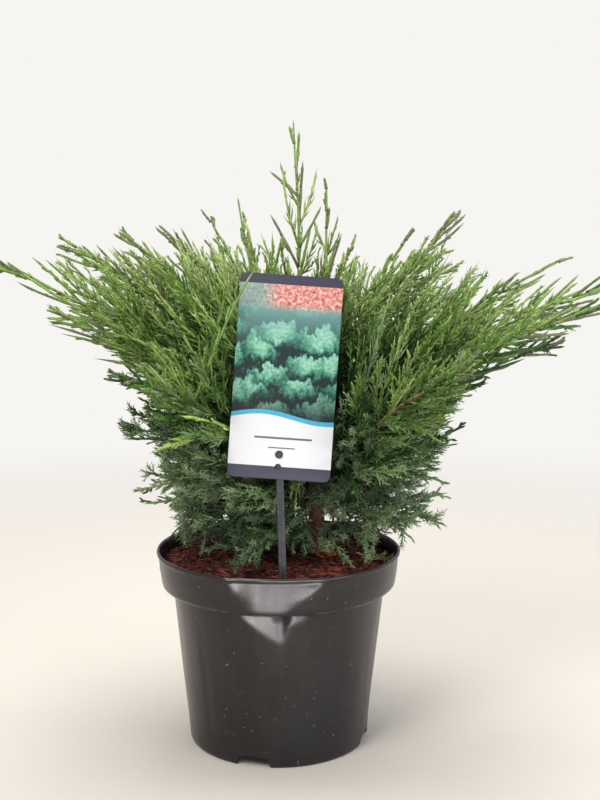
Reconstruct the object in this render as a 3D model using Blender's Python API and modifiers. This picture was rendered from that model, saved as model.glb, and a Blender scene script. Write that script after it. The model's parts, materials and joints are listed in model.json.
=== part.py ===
# Potted savin juniper: a young spreading juniper in a round black nursery pot, with its plant label.
# Metres, +Z up. The origin is the centre of the pot's flat underside, and the front faces -Y.
# The crown is a set of plumes. Each one grows on a curve of its own from the trunk: the inner
# stretch of the curve is a bare bough, and the outer stretch is the stem of a mass of sprays.

import itertools
import math
import random
from collections import namedtuple

import bmesh
import bpy
from mathutils import Matrix, Vector
from mathutils.kdtree import KDTree

GAP = 0.0003
UP = Vector((0, 0, 1))
GOLDEN_ANGLE = math.radians(137.508)

# Pot
POT_HEIGHT = 0.150
LIP_RADIUS = 0.095
LIP_HEIGHT = 0.0025
BAND_TOP_RADIUS = 0.0937
BAND_LOW_RADIUS = 0.0912
BAND_HEIGHT = 0.0275
BAND_EDGE = 0.0016
WALL_TOP_RADIUS = 0.0828
BASE_RADIUS = 0.0695
POT_WALL = 0.0014
POT_FLOOR = 0.0020
FLOOR_CORNER = 0.0030
PANEL_HEIGHT = 0.008
FOOT_RING = 0.0040
FOOT_DISC_RADIUS = 0.030
FOOT_DISC_STEP = 0.0045
POT_STEPS = 32
NOTCH_COUNT = 4
NOTCH_FIRST = math.radians(-15)
NOTCH_WIDTH = 0.028
NOTCH_TOP_WIDTH = 0.021
NOTCH_HEIGHT = 0.0074
NOTCH_DEPTH = 0.016

# Soil
SOIL_TOP = 0.1455
SOIL_EDGE = 0.1410
SOIL_FLAT_RADIUS = 0.045
SOIL_STEPS = POT_STEPS
SLOT_ABOVE_SOIL = 0.02

# Label, in a frame that stands on the soil at the foot of its stem and leans back with it
LABEL_FOOT = Vector((0.0045, -0.070, 0.1432))
LABEL_LEAN = math.radians(8)
CARD_SIZE = (0.0745, 0.1475)
CARD_THICKNESS = 0.0007
CARD_CENTRE = (0.0017, 0.1465)
CARD_ROLL = math.radians(4)
CARD_CORNER = 0.005
PEG_PLACE = (-0.0028, 0.0908)
PEG_RADIUS = 0.0026
PEG_STANDS_OUT = 0.0012
PIN_SEGMENTS = 14
HOLE_LENGTH = 0.004
SPARE_HOLE_PLACE = (-0.0036, 0.0818)
SPARE_HOLE_RADIUS = 0.0024
STEM_WIDTH = 0.0055
STEM_THICKNESS = 0.0018
STEM_DEPTH_IN_SOIL = 0.040
STEM_ABOVE_PEG = 0.006

# Trunk
TRUNK_FOOT = Vector((0.029, 0.002, SOIL_TOP + GAP))
TRUNK_HEIGHT = 0.139
TRUNK_LEAN = Vector((-0.013, 0.002, 0))
TRUNK_BOW = 0.0035
TRUNK_RADIUS = 0.0072
TRUNK_TOP_RADIUS = 0.0042
FLARE_RADIUS = 0.0115
FLARE_HEIGHT = 0.012
TRUNK_SIDES = 8
TRUNK_FOOT_RINGS = [0.0, 0.03, 0.08]
TRUNK_RINGS = 6

# Boughs
BOUGH_SHARE = 0.16
BOUGH_RADIUS = 0.0016
BOUGH_RADIUS_GAIN = 0.0060
BOUGH_TAPER = 0.62
BOUGH_RINGS = 4
BOUGH_SIDES = 6
SWAY = 0.0022
SWAY_TURNS = 1.4

# Masses
STEM_ROOT_RADIUS = 0.0016
STEM_TIP_RADIUS = 0.0007
STEM_SIDES = 4
STEM_RINGS = 7
STEM_END = 0.92
CORE_SPAN = (0.02, 0.74)
CORE_SHARE = 0.15
CORE_ROOM = 0.8
SPRAY_SPAN = (0.07, 0.87)
SPRAY_SHARE = (0.66, 0.16)
SPRAY_ANGLE = (math.radians(52), math.radians(20))
SPRAY_WIDTH = (0.25, 0.15)
ANGLE_CHANCE = 0.10
LENGTH_CHANCE = 0.12
WHIP_WIDTH = 0.30
WHIP_LENGTH = 0.62
END_SHARE = 0.30
END_WIDTH = 0.085
SPRAY_CURL = 0.16
SPRAY_ROOT_HALF = 0.0009
SPRAY_ROOT_THICKNESS = 0.0014
SPRAY_THICKNESS = 0.018
LEAST_THICKNESS = 0.0009
TEETH = 3
FIRST_TOOTH = 0.18
TEETH_SPAN = 0.80
TOOTH_REACH = 0.85
TOOTH_NECK = 0.30
SPRAY_SIZES = (1.0, 0.84, 0.70, 0.58, 0.46)
SHORTEST_SPRAY = 0.016
SPRAY_TURNS = [math.radians(degrees) for degrees in (0, 35, -35, 70, -70, 105, -105, 140)]
SPRAYS_APART = 0.0030
SPACE_MARGIN = 0.0012
TRUNK_CLEARANCE = 0.0105
CARD_CLEARANCE = (0.004, 0.005, 0.003)
STEM_CLEARANCE = (0.006, 0.004)
LEAVES_FROM = 1.8
LOWEST_SPRAY = 0.1515
POINTS_APART = 0.0000004
AXIS_POINTS = 72

# Each plume has a place on the trunk as a share of its height, a heading in degrees seen from
# above (0 right, 90 back, 180 left, 270 front), the reach of its tip from the trunk's foot, the
# height of its tip over the soil, how far its curve arches up and bends to the left of its
# heading as shares of its length, its number of sprays, how full it is (from a bare whip at 0
# to a dense mass at 1), and whether a bough carries it.
Plume = namedtuple("Plume", "name start heading reach height arch bend sprays fullness bough")
PLUMES = (
    Plume("leader", 1.00, 150, 0.020, 0.331, 0.02, 0.00, 6, 0.05, True),
    Plume("centre_left", 0.91, 156, 0.066, 0.274, -0.10, 0.00, 6, 0.15, True),
    Plume("centre_right", 0.95, 50, 0.012, 0.281, -0.14, 0.00, 6, 0.05, False),
    Plume("centre_back", 0.87, 62, 0.064, 0.238, 0.04, 0.00, 6, 0.30, False),
    Plume("inner_left", 0.80, 142, 0.108, 0.257, 0.06, 0.02, 6, 0.40, True),
    Plume("top_left", 0.71, 168, 0.122, 0.251, 0.06, -0.04, 8, 0.55, True),
    Plume("high_left", 0.65, 190, 0.150, 0.252, 0.06, -0.06, 9, 0.65, True),
    Plume("upper_left", 0.59, 165, 0.206, 0.240, 0.08, 0.00, 10, 0.60, True),
    Plume("far_left", 0.52, 180, 0.268, 0.232, 0.10, 0.00, 9, 0.50, True),
    Plume("mid_left", 0.45, 191, 0.190, 0.186, 0.10, -0.02, 9, 0.60, True),
    Plume("low_left", 0.30, 184, 0.152, 0.100, 0.12, 0.00, 9, 0.90, True),
    Plume("front_left", 0.39, 222, 0.178, 0.152, 0.10, -0.17, 8, 0.60, True),
    Plume("low_front_left", 0.23, 208, 0.150, 0.072, 0.14, -0.10, 8, 0.90, True),
    Plume("foot_left", 0.13, 188, 0.132, 0.036, 0.20, 0.02, 9, 1.00, False),
    Plume("foot_front", 0.17, 232, 0.084, 0.012, 0.24, 0.00, 7, 0.90, False),
    Plume("top_right", 0.83, 344, 0.070, 0.243, 0.05, 0.04, 7, 0.60, True),
    Plume("upper_right", 0.76, 14, 0.114, 0.262, 0.06, 0.00, 8, 0.70, True),
    Plume("high_right", 0.64, 20, 0.215, 0.224, 0.09, 0.00, 9, 0.65, True),
    Plume("far_right", 0.56, 1, 0.232, 0.210, 0.10, 0.00, 9, 0.55, True),
    Plume("front_far_right", 0.48, 342, 0.205, 0.192, 0.10, 0.02, 9, 0.60, True),
    Plume("mid_right", 0.37, 6, 0.185, 0.160, 0.10, 0.00, 9, 0.70, True),
    Plume("front_right", 0.42, 306, 0.168, 0.160, 0.10, 0.14, 8, 0.65, True),
    Plume("low_right", 0.26, 352, 0.120, 0.090, 0.12, 0.02, 9, 0.95, True),
    Plume("foot_right", 0.12, 336, 0.099, 0.034, 0.18, 0.00, 9, 1.00, False),
    Plume("back_left", 0.70, 122, 0.196, 0.218, 0.08, 0.00, 7, 0.60, True),
    Plume("back", 0.61, 90, 0.188, 0.205, 0.09, 0.00, 7, 0.60, True),
    Plume("back_right", 0.50, 52, 0.192, 0.190, 0.09, 0.00, 7, 0.60, True),
    Plume("low_back_left", 0.31, 142, 0.165, 0.110, 0.12, 0.00, 7, 0.80, True),
    Plume("low_back", 0.22, 98, 0.150, 0.080, 0.14, 0.00, 7, 0.85, True),
    Plume("low_back_right", 0.34, 44, 0.160, 0.105, 0.12, 0.00, 7, 0.85, True),
)


def clear_scene():
    for item in list(bpy.data.objects):
        bpy.data.objects.remove(item)


def new_collection(name):
    collection = bpy.data.collections.new(name)
    bpy.context.scene.collection.children.link(collection)
    return collection


def make_material(name, colour, roughness, metallic=0.0):
    material = bpy.data.materials.new(name)
    material.use_nodes = True
    shader = material.node_tree.nodes["Principled BSDF"]
    shader.inputs["Base Color"].default_value = (*colour, 1)
    shader.inputs["Roughness"].default_value = roughness
    shader.inputs["Metallic"].default_value = metallic
    return material


def add_part(name, mesh, material, smooth_under=None):
    """A named sub-part in the juniper's collection."""
    part = bpy.data.objects.new(name, mesh)
    mesh.materials.clear()
    mesh.materials.append(material)
    if smooth_under:
        mesh.shade_smooth()
        mesh.set_sharp_from_angle(angle=math.radians(smooth_under))
    PARTS.objects.link(part)
    return part


def add_cutter(name, mesh, collection=None):
    cutter = bpy.data.objects.new(name, mesh)
    cutter.hide_render = True
    cutter.display_type = "WIRE"
    (collection or CUTTERS).objects.link(cutter)
    return cutter


def cut(part, cutter):
    """A live difference of the part and a cutter, or a collection of cutters."""
    modifier = part.modifiers.new("Cut", "BOOLEAN")
    modifier.operation = "DIFFERENCE"
    if isinstance(cutter, bpy.types.Collection):
        modifier.operand_type = "COLLECTION"
        modifier.collection = cutter
    else:
        modifier.object = cutter


def box_mesh(name, size, centre=(0, 0, 0), taper=1.0):
    """A box, with its top narrowed along X by the taper."""
    mesh = bpy.data.meshes.new(name)
    shape = bmesh.new()
    bmesh.ops.create_cube(shape, size=1)
    for vertex in shape.verts:
        narrow = taper if vertex.co.z > 0 else 1.0
        sides = (vertex.co.x * size[0] * narrow, vertex.co.y * size[1], vertex.co.z * size[2])
        vertex.co = Vector(sides) + Vector(centre)
    shape.to_mesh(mesh)
    shape.free()
    return mesh


def pin_mesh(name, radius, length):
    """A cylinder that lies along Y, centred on the origin."""
    mesh = bpy.data.meshes.new(name)
    shape = bmesh.new()
    turn = Matrix.Rotation(math.pi / 2, 4, "X")
    bmesh.ops.create_cone(
        shape,
        cap_ends=True,
        segments=PIN_SEGMENTS,
        radius1=radius,
        radius2=radius,
        depth=length,
        matrix=turn,
    )
    shape.to_mesh(mesh)
    shape.free()
    return mesh


def turned_part(name, profile, material, steps=POT_STEPS):
    """A solid of revolution from a profile of (radius, height) points."""
    points = [(radius, 0, height) for radius, height in profile]
    edges = [(i, i + 1) for i in range(len(points) - 1)]
    mesh = bpy.data.meshes.new(name)
    mesh.from_pydata(points, edges, [])
    part = add_part(name, mesh, material)
    screw = part.modifiers.new("Turn", "SCREW")
    screw.steps = steps
    screw.render_steps = steps
    screw.use_merge_vertices = True
    screw.merge_threshold = 0.00005
    screw.use_smooth_shade = True
    return part


def inner_profile(clearance=0.0):
    """The pot's inside from the middle of its floor to its lip, moved inward by a clearance."""
    wall_run = POT_HEIGHT - BAND_HEIGHT
    slope = (WALL_TOP_RADIUS - BASE_RADIUS) / wall_run
    floor = PANEL_HEIGHT + POT_FLOOR + clearance
    wall = POT_WALL + clearance
    step = wall_run + POT_WALL + clearance
    return [
        (0, POT_FLOOR + clearance),
        (FOOT_DISC_RADIUS - POT_FLOOR - clearance, POT_FLOOR + clearance),
        (FOOT_DISC_RADIUS + FOOT_DISC_STEP - POT_FLOOR - clearance, floor),
        (BASE_RADIUS + slope * floor - wall - FLOOR_CORNER, floor),
        (BASE_RADIUS + slope * floor - wall, floor + FLOOR_CORNER),
        (WALL_TOP_RADIUS - wall, wall_run),
        (BAND_LOW_RADIUS - wall, step),
        (BAND_TOP_RADIUS - wall, POT_HEIGHT - 0.002),
    ]


def radius_inside(height, clearance):
    """The inner radius at a height on the band, where the soil's edge lies."""
    (low_radius, low), (high_radius, high) = inner_profile(clearance)[-2:]
    return low_radius + (high_radius - low_radius) * (height - low) / (high - low)


def build_pot(material):
    """A thin-walled pot with a stepped collar, a rolled lip and four notches in its foot."""
    wall_run = POT_HEIGHT - BAND_HEIGHT
    lip_low = POT_HEIGHT - LIP_HEIGHT
    profile = inner_profile() + [
        (BAND_TOP_RADIUS - POT_WALL + 0.0008, POT_HEIGHT),
        (LIP_RADIUS - 0.0006, POT_HEIGHT),
        (LIP_RADIUS, POT_HEIGHT - 0.0008),
        (LIP_RADIUS, lip_low),
        (BAND_TOP_RADIUS, lip_low - 0.0006),
        (BAND_LOW_RADIUS, wall_run + BAND_EDGE),
        (BAND_LOW_RADIUS - BAND_EDGE, wall_run),
        (WALL_TOP_RADIUS, wall_run),
        (BASE_RADIUS, 0),
        (BASE_RADIUS - FOOT_RING, 0),
        (BASE_RADIUS - FOOT_RING - 0.0010, PANEL_HEIGHT),
        (FOOT_DISC_RADIUS + FOOT_DISC_STEP, PANEL_HEIGHT),
        (FOOT_DISC_RADIUS, 0),
        (0, 0),
    ]
    pot = turned_part("pot", profile, material)
    notches = bpy.data.collections.new("notches")
    CUTTERS.children.link(notches)
    for index in range(NOTCH_COUNT):
        name = f"notch_{index + 1}"
        size = (NOTCH_WIDTH, NOTCH_DEPTH, 2 * NOTCH_HEIGHT)
        mesh = box_mesh(name, size, taper=NOTCH_TOP_WIDTH / NOTCH_WIDTH)
        notch = add_cutter(name, mesh, notches)
        angle = NOTCH_FIRST + index * math.tau / NOTCH_COUNT
        outward = Vector((math.sin(angle), -math.cos(angle), 0))
        notch.location = outward * (BASE_RADIUS + 0.001)
        notch.rotation_euler = (0, 0, angle)
    cut(pot, notches)
    return pot


def build_soil(material, slot):
    """The root ball: it fills the pot, is level round the trunk and falls a little to its edge."""
    edge = radius_inside(SOIL_EDGE, GAP)
    inside = inner_profile(GAP)[:-1]
    profile = [(0, SOIL_TOP), (SOIL_FLAT_RADIUS, SOIL_TOP), (edge, SOIL_EDGE)] + inside[::-1]
    soil = turned_part("soil", profile, material, SOIL_STEPS)
    cut(soil, slot)
    return soil


def label_frame():
    """From the label's own frame, X right, Z up its stem and Y behind it, to the world."""
    return Matrix.Translation(LABEL_FOOT) @ Matrix.Rotation(-LABEL_LEAN, 4, "X")


def card_frame():
    place = Matrix.Translation((CARD_CENTRE[0], 0, CARD_CENTRE[1]))
    return label_frame() @ place @ Matrix.Rotation(CARD_ROLL, 4, "Y")


def stem_frame():
    """The stem leans to the left, from its foot to the peg."""
    lean = math.atan2(PEG_PLACE[0], PEG_PLACE[1])
    behind = Matrix.Translation((0, CARD_THICKNESS / 2 + GAP + STEM_THICKNESS / 2, 0))
    return label_frame() @ Matrix.Rotation(lean, 4, "Y") @ behind


def build_label_card(material):
    """A thin upright card with rounded corners, pinned on its stem by a peg."""
    mesh = bpy.data.meshes.new("label_card")
    shape = bmesh.new()
    bmesh.ops.create_cube(shape, size=1)
    bmesh.ops.scale(shape, vec=(CARD_SIZE[0], CARD_THICKNESS, CARD_SIZE[1]), verts=shape.verts)
    across = [edge for edge in shape.edges if abs(edge.verts[0].co.y - edge.verts[1].co.y) > 1e-6]
    bmesh.ops.bevel(
        shape, geom=across, offset=CARD_CORNER, segments=3, profile=0.5, affect="EDGES", material=-1
    )
    shape.to_mesh(mesh)
    shape.free()
    card = add_part("label_card", mesh, material)
    card.matrix_world = card_frame()
    holes = bpy.data.collections.new("label_holes")
    CUTTERS.children.link(holes)
    for name, place, radius in (
        ("peg_hole", PEG_PLACE, PEG_RADIUS + GAP),
        ("spare_hole", SPARE_HOLE_PLACE, SPARE_HOLE_RADIUS),
    ):
        hole = add_cutter(name, pin_mesh(name, radius, HOLE_LENGTH), holes)
        hole.matrix_world = label_frame() @ Matrix.Translation((place[0], 0, place[1]))
    cut(card, holes)
    return card


def build_label_stem(material):
    """A flat bar pushed into the soil, with the peg that holds the card in front of it."""
    length = STEM_DEPTH_IN_SOIL + PEG_PLACE[1] + STEM_ABOVE_PEG
    middle = length / 2 - STEM_DEPTH_IN_SOIL
    mesh = box_mesh("label_stem", (STEM_WIDTH, STEM_THICKNESS, length), (0, 0, middle))
    stem = add_part("label_stem", mesh, material)
    stem.matrix_world = stem_frame()
    reach = STEM_THICKNESS / 2 + GAP + CARD_THICKNESS + PEG_STANDS_OUT
    peg = add_cutter("peg", pin_mesh("peg", PEG_RADIUS, reach))
    # The peg starts in the middle of the bar and passes through the card.
    up_stem = math.hypot(*PEG_PLACE)
    peg.matrix_world = stem_frame() @ Matrix.Translation((0, -reach / 2, up_stem))
    join = stem.modifiers.new("Peg", "BOOLEAN")
    join.operation = "UNION"
    join.object = peg
    return stem


def soil_slot():
    """The slot that the label's stem stands in, with a clearance all round it."""
    depth = STEM_DEPTH_IN_SOIL + GAP
    size = (STEM_WIDTH + 2 * GAP, STEM_THICKNESS + 2 * GAP, depth + SLOT_ABOVE_SOIL)
    middle = (SLOT_ABOVE_SOIL - depth) / 2
    slot = add_cutter("soil_slot", box_mesh("soil_slot", size, (0, 0, middle)))
    slot.matrix_world = stem_frame()
    return slot


def tapered_tube(name, points, radii, sides):
    """The mesh of a round tube through points, with flat ends and a radius at each point."""
    curve = bpy.data.curves.new(name, "CURVE")
    curve.dimensions = "3D"
    curve.bevel_depth = 1.0
    curve.bevel_resolution = sides // 2 - 2
    curve.use_fill_caps = True
    spline = curve.splines.new("POLY")
    spline.points.add(len(points) - 1)
    for point, place, radius in zip(spline.points, points, radii):
        point.co = (*place, 1)
        point.radius = radius
    guide = bpy.data.objects.new(name, curve)
    CUTTERS.objects.link(guide)
    graph = bpy.context.evaluated_depsgraph_get()
    mesh = bpy.data.meshes.new_from_object(guide.evaluated_get(graph))
    shape = bmesh.new()
    shape.from_mesh(mesh)
    bmesh.ops.remove_doubles(shape, verts=shape.verts, dist=1e-6)
    bmesh.ops.recalc_face_normals(shape, faces=shape.faces)
    shape.to_mesh(mesh)
    shape.free()
    bpy.data.objects.remove(guide)
    return mesh


def trunk_point(share):
    """The middle of the trunk at a share of its height: it leans, with a slight bow to the right."""
    bow = Vector((TRUNK_BOW * math.sin(math.pi * share), 0, 0))
    return TRUNK_FOOT + TRUNK_LEAN * share**1.3 + bow + UP * TRUNK_HEIGHT * share


def trunk_radius(share):
    """A steady taper, with a flare at the foot."""
    taper = TRUNK_RADIUS + (TRUNK_TOP_RADIUS - TRUNK_RADIUS) * share
    flare = max(0.0, 1 - share * TRUNK_HEIGHT / FLARE_HEIGHT)
    return taper + (FLARE_RADIUS - TRUNK_RADIUS) * flare**2


def trunk_mesh(name, grown=0.0):
    """The trunk's tube, or the same tube grown all round as a cutter for what meets it."""
    low = TRUNK_FOOT_RINGS[-1]
    shares = TRUNK_FOOT_RINGS + [low + (1 - low) * (i + 1) / TRUNK_RINGS for i in range(TRUNK_RINGS)]
    points = [trunk_point(share) for share in shares]
    # The first run is upright, so that the foot is cut level.
    points[1] = points[0] + UP * TRUNK_HEIGHT * shares[1]
    spread = grown / math.cos(math.pi / TRUNK_SIDES)
    radii = [trunk_radius(share) + spread for share in shares]
    points[-1] += UP * grown
    return tapered_tube(name, points, radii, TRUNK_SIDES)


def plume_axis(plume, seed):
    """The curve of a plume from the middle of the trunk to its furthest tip, in even steps."""
    root = trunk_point(plume.start)
    heading = math.radians(plume.heading)
    outward = Vector((math.cos(heading), math.sin(heading), 0))
    aside = Vector((-outward.y, outward.x, 0))
    foot = Vector((TRUNK_FOOT.x, TRUNK_FOOT.y, SOIL_TOP))
    tip = foot + outward * plume.reach + UP * plume.height
    chord = (tip - root).length
    rise = (tip - root).cross(aside).normalized()
    middle = (root + tip) / 2 + (rise * plume.arch + aside * plume.bend) * chord
    phase = random.Random(seed).uniform(0, math.tau)
    fine = []
    for step in range(4 * AXIS_POINTS + 1):
        share = step / (4 * AXIS_POINTS)
        point = root * (1 - share) ** 2 + middle * 2 * share * (1 - share) + tip * share**2
        sway = SWAY * math.sin(math.pi * share) ** 2
        turn = math.tau * SWAY_TURNS * share + phase
        fine.append(point + aside * sway * math.sin(turn) + UP * sway * math.cos(turn))
    return even_steps(fine, AXIS_POINTS)


def even_steps(points, count):
    """A polyline's points moved to equal distances along it."""
    runs = [0.0]
    for before, after in zip(points, points[1:]):
        runs.append(runs[-1] + (after - before).length)
    found = []
    at = 0
    for step in range(count + 1):
        wanted = runs[-1] * step / count
        while at < len(points) - 2 and runs[at + 1] < wanted:
            at += 1
        share = (wanted - runs[at]) / (runs[at + 1] - runs[at])
        found.append(points[at].lerp(points[at + 1], share))
    return found


def along(axis, share):
    """The point and the direction of an axis at a share of its length."""
    place = min(max(share, 0.0), 1.0) * (len(axis) - 1)
    index = min(int(place), len(axis) - 2)
    point = axis[index].lerp(axis[index + 1], place - index)
    return point, (axis[index + 1] - axis[index]).normalized()


def axis_length(axis):
    return sum((after - before).length for before, after in zip(axis, axis[1:]))


def tree_of(points):
    tree = KDTree(len(points))
    for index, point in enumerate(points):
        tree.insert(point, index)
    tree.balance()
    return tree


class Space:
    """The room that one plume may fill: all that lies nearer to its own axis than to another's."""

    def __init__(self, own, others, trunk):
        self.own = tree_of(own)
        self.others = tree_of(others)
        self.trunk = tree_of(trunk)
        self.to_card = card_frame().inverted()
        self.to_stem = stem_frame().inverted()

    def room(self, point):
        """How far a point is from leaving the room, or less than nothing outside it."""
        return (self.others.find(point)[2] - self.own.find(point)[2]) / 2

    def near_label(self, point):
        """True beside the label, and in front of its card, which nothing hides."""
        beside, behind, above = CARD_CLEARANCE
        on_card = self.to_card @ point
        within = abs(on_card.x) < CARD_SIZE[0] / 2 + beside and abs(on_card.z) < CARD_SIZE[1] / 2 + above
        if within and on_card.y < behind:
            return True
        beside, behind = STEM_CLEARANCE
        on_stem = self.to_stem @ point
        return abs(on_stem.x) < beside and on_stem.y < behind and on_stem.z < PEG_PLACE[1]

    def allows(self, point):
        if point.z < LOWEST_SPRAY or self.near_label(point):
            return False
        if self.trunk.find(point)[2] < TRUNK_CLEARANCE:
            return False
        return self.room(point) > SPACE_MARGIN


def loft_mesh(name, rings, tip=None):
    """A closed skin over rings of points, with a flat start and a flat or pointed end."""
    mesh = bpy.data.meshes.new(name)
    shape = bmesh.new()
    skin = [[shape.verts.new(point) for point in ring] for ring in rings]
    count = len(rings[0])
    for ring, after in zip(skin, skin[1:]):
        for side in range(count):
            near, far = ring[side], ring[(side + 1) % count]
            next_near, next_far = after[side], after[(side + 1) % count]
            shape.faces.new((near, far, next_near))
            shape.faces.new((far, next_far, next_near))
    shape.faces.new(skin[0][::-1])
    if tip is None:
        shape.faces.new(skin[-1])
    else:
        point = shape.verts.new(tip)
        for side in range(count):
            shape.faces.new((skin[-1][side], skin[-1][(side + 1) % count], point))
    bmesh.ops.recalc_face_normals(shape, faces=shape.faces)
    bmesh.ops.triangulate(shape, faces=shape.faces)
    shape.to_mesh(mesh)
    shape.free()
    return mesh


def round_ring(centre, direction, radius, sides, turn=0.0):
    side = direction.cross(UP if abs(direction.z) < 0.9 else Vector((1, 0, 0))).normalized()
    other = direction.cross(side)
    angles = [turn + math.tau * i / sides for i in range(sides)]
    return [centre + (side * math.cos(a) + other * math.sin(a)) * radius for a in angles]


def stem_mesh(plume, axis, start, space):
    """The stem of a mass, from its bough's tip into the spray at the plume's end.

    It swells into a slim core on the way, for the crowded shoots inside a mass."""
    length = axis_length(axis)
    rings = []
    for step in range(STEM_RINGS):
        rise = step / (STEM_RINGS - 1)
        centre, direction = along(axis, start + (STEM_END - start) * rise)
        radius = STEM_ROOT_RADIUS + (STEM_TIP_RADIUS - STEM_ROOT_RADIUS) * rise
        inside = (rise - CORE_SPAN[0]) / (CORE_SPAN[1] - CORE_SPAN[0])
        if 0 < inside < 1:
            core = CORE_SHARE * plume.fullness * length * math.sin(math.pi * inside) ** 0.8
            radius = max(radius, min(core, CORE_ROOM * (space.room(centre) - SPACE_MARGIN)))
        rings.append(round_ring(centre, direction, radius, STEM_SIDES))
    return loft_mesh(f"{plume.name}_stem", rings)


def spray_rings(root, direction, across, tangent, length, width):
    """The three-cornered sections of a toothed blade, its teeth staggered and pointing forward."""
    ridge = direction.cross(across).normalized()
    half = width * length
    thick = max(SPRAY_THICKNESS * length, LEAST_THICKNESS)
    step = TEETH_SPAN / TEETH

    def at(share, side, height):
        curl = tangent * SPRAY_CURL * share**2
        return root + (direction * share + curl) * length + across * side + ridge * height

    root_corners = ((SPRAY_ROOT_HALF, 0), (-SPRAY_ROOT_HALF, 0), (0, SPRAY_ROOT_THICKNESS))
    rings = [[at(0, side, height) for side, height in root_corners]]
    for index in range(TEETH):
        share = FIRST_TOOTH + step * index
        # Widest in the middle, and drawn in to both ends
        bulk = half * math.sin(math.pi * (0.12 + 0.76 * index / (TEETH - 1))) ** 0.6
        notch = (share, bulk * TOOTH_NECK)
        tooth = (share + TOOTH_REACH * step, bulk)
        left, right = (tooth, notch) if index % 2 else (notch, tooth)
        crest = at(share + 0.4 * step, 0, thick * (1 - 0.4 * share))
        rings.append([at(left[0], left[1], 0), at(right[0], -right[1], 0), crest])
    return rings, at(1.0, 0, 0)


def outline_of(rings, tip):
    """The corners of a spray past its root, and the points between them."""
    corners = [point for ring in rings[1:] for point in ring[:2]] + [tip]
    return corners + [before.lerp(after, 0.5) for before, after in zip(corners, corners[1:])]


def fits(outline, space, taken):
    """True if a spray's outline is in the space and crosses none of the sprays before it."""
    if not all(space.allows(point) for point in outline):
        return False
    return all((point - other).length > SPRAYS_APART for point in outline[2:] for other in taken)


def sprays_of(plume, axis, start, space, seed):
    """The meshes of the sprays that stand out of a stem, each shortened until it fits, or left out."""
    chance = random.Random(seed)
    length = axis_length(axis) * (1 - start)
    turn = chance.uniform(0, math.tau)
    slim = WHIP_WIDTH + (1 - WHIP_WIDTH) * plume.fullness
    short = WHIP_LENGTH + (1 - WHIP_LENGTH) * plume.fullness
    meshes = []
    taken = []
    for index in range(plume.sprays):
        rise = index / (plume.sprays - 1)
        span = SPRAY_SPAN[0] + (SPRAY_SPAN[1] - SPRAY_SPAN[0]) * rise**0.9
        root, tangent = along(axis, start + (1 - start) * span)
        turn += GOLDEN_ANGLE
        angle = SPRAY_ANGLE[0] + (SPRAY_ANGLE[1] - SPRAY_ANGLE[0]) * rise
        angle += chance.uniform(-ANGLE_CHANCE, ANGLE_CHANCE)
        wanted = length * (SPRAY_SHARE[0] + (SPRAY_SHARE[1] - SPRAY_SHARE[0]) * rise)
        wanted *= short * chance.uniform(1 - LENGTH_CHANCE, 1 + LENGTH_CHANCE)
        width = (SPRAY_WIDTH[0] + (SPRAY_WIDTH[1] - SPRAY_WIDTH[0]) * rise) * slim
        for size, more in itertools.product(SPRAY_SIZES, SPRAY_TURNS):
            if wanted * size < SHORTEST_SPRAY:
                break
            outward = round_ring(Vector(), tangent, 1, 1, turn + more)[0]
            direction = (tangent * math.cos(angle) + outward * math.sin(angle)).normalized()
            across = direction.cross(outward).normalized()
            rings, tip = spray_rings(root, direction, across, tangent, wanted * size, width)
            outline = outline_of(rings, tip)
            if fits(outline, space, taken):
                taken += outline[2:]
                meshes.append(loft_mesh(f"{plume.name}_spray_{index}", rings, tip))
                break
    # One more spray carries the stem on to its tip.
    root, tangent = along(axis, 1 - END_SHARE * (1 - start))
    reach = axis[-1] - root
    across = round_ring(Vector(), reach.normalized(), 1, 1, turn)[0]
    rings, tip = spray_rings(root, reach.normalized(), across, Vector(), reach.length, END_WIDTH)
    meshes.append(loft_mesh(f"{plume.name}_end", rings, tip))
    return meshes


def largest_island(shape):
    """The connected faces that are the most, as a set."""
    left = set(shape.faces)
    largest = set()
    while left:
        island = set()
        edge_of_island = [left.pop()]
        while edge_of_island:
            face = edge_of_island.pop()
            island.add(face)
            for edge in face.edges:
                for other in edge.link_faces:
                    if other in left:
                        left.remove(other)
                        edge_of_island.append(other)
        if len(island) > len(largest):
            largest = island
    return largest


def is_closed(mesh):
    """True if each edge has two faces, also once points that all but coincide are one."""
    shape = bmesh.new()
    shape.from_mesh(mesh)
    closed = bool(shape.faces) and all(len(edge.link_faces) == 2 for edge in shape.edges)
    bmesh.ops.triangulate(shape, faces=shape.faces)
    bmesh.ops.remove_doubles(shape, verts=shape.verts, dist=POINTS_APART)
    closed = closed and all(len(edge.link_faces) == 2 for edge in shape.edges)
    shape.free()
    return closed


def apply_boolean(name, mesh, others, operation, solver):
    """The mesh after one Boolean with a collection of others, which is then removed."""
    pieces = new_collection(f"{name}_pieces")
    base = bpy.data.objects.new(name, mesh)
    bpy.context.scene.collection.objects.link(base)
    for index, other in enumerate(others):
        pieces.objects.link(bpy.data.objects.new(f"{name}_piece_{index}", other))
    modifier = base.modifiers.new("Join", "BOOLEAN")
    modifier.operation = operation
    modifier.operand_type = "COLLECTION"
    modifier.collection = pieces
    modifier.solver = solver
    graph = bpy.context.evaluated_depsgraph_get()
    result = bpy.data.meshes.new_from_object(base.evaluated_get(graph))
    for piece in list(pieces.objects) + [base]:
        bpy.data.objects.remove(piece)
    bpy.data.collections.remove(pieces)
    return result


def keep_whole(mesh):
    """Drops the loose scraps and the sealed hollows that a Boolean leaves."""
    shape = bmesh.new()
    shape.from_mesh(mesh)
    kept = largest_island(shape)
    extra = [face for face in shape.faces if face not in kept]
    bmesh.ops.delete(shape, geom=extra, context="FACES")
    bmesh.ops.triangulate(shape, faces=shape.faces)
    shape.to_mesh(mesh)
    shape.free()
    return mesh


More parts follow.
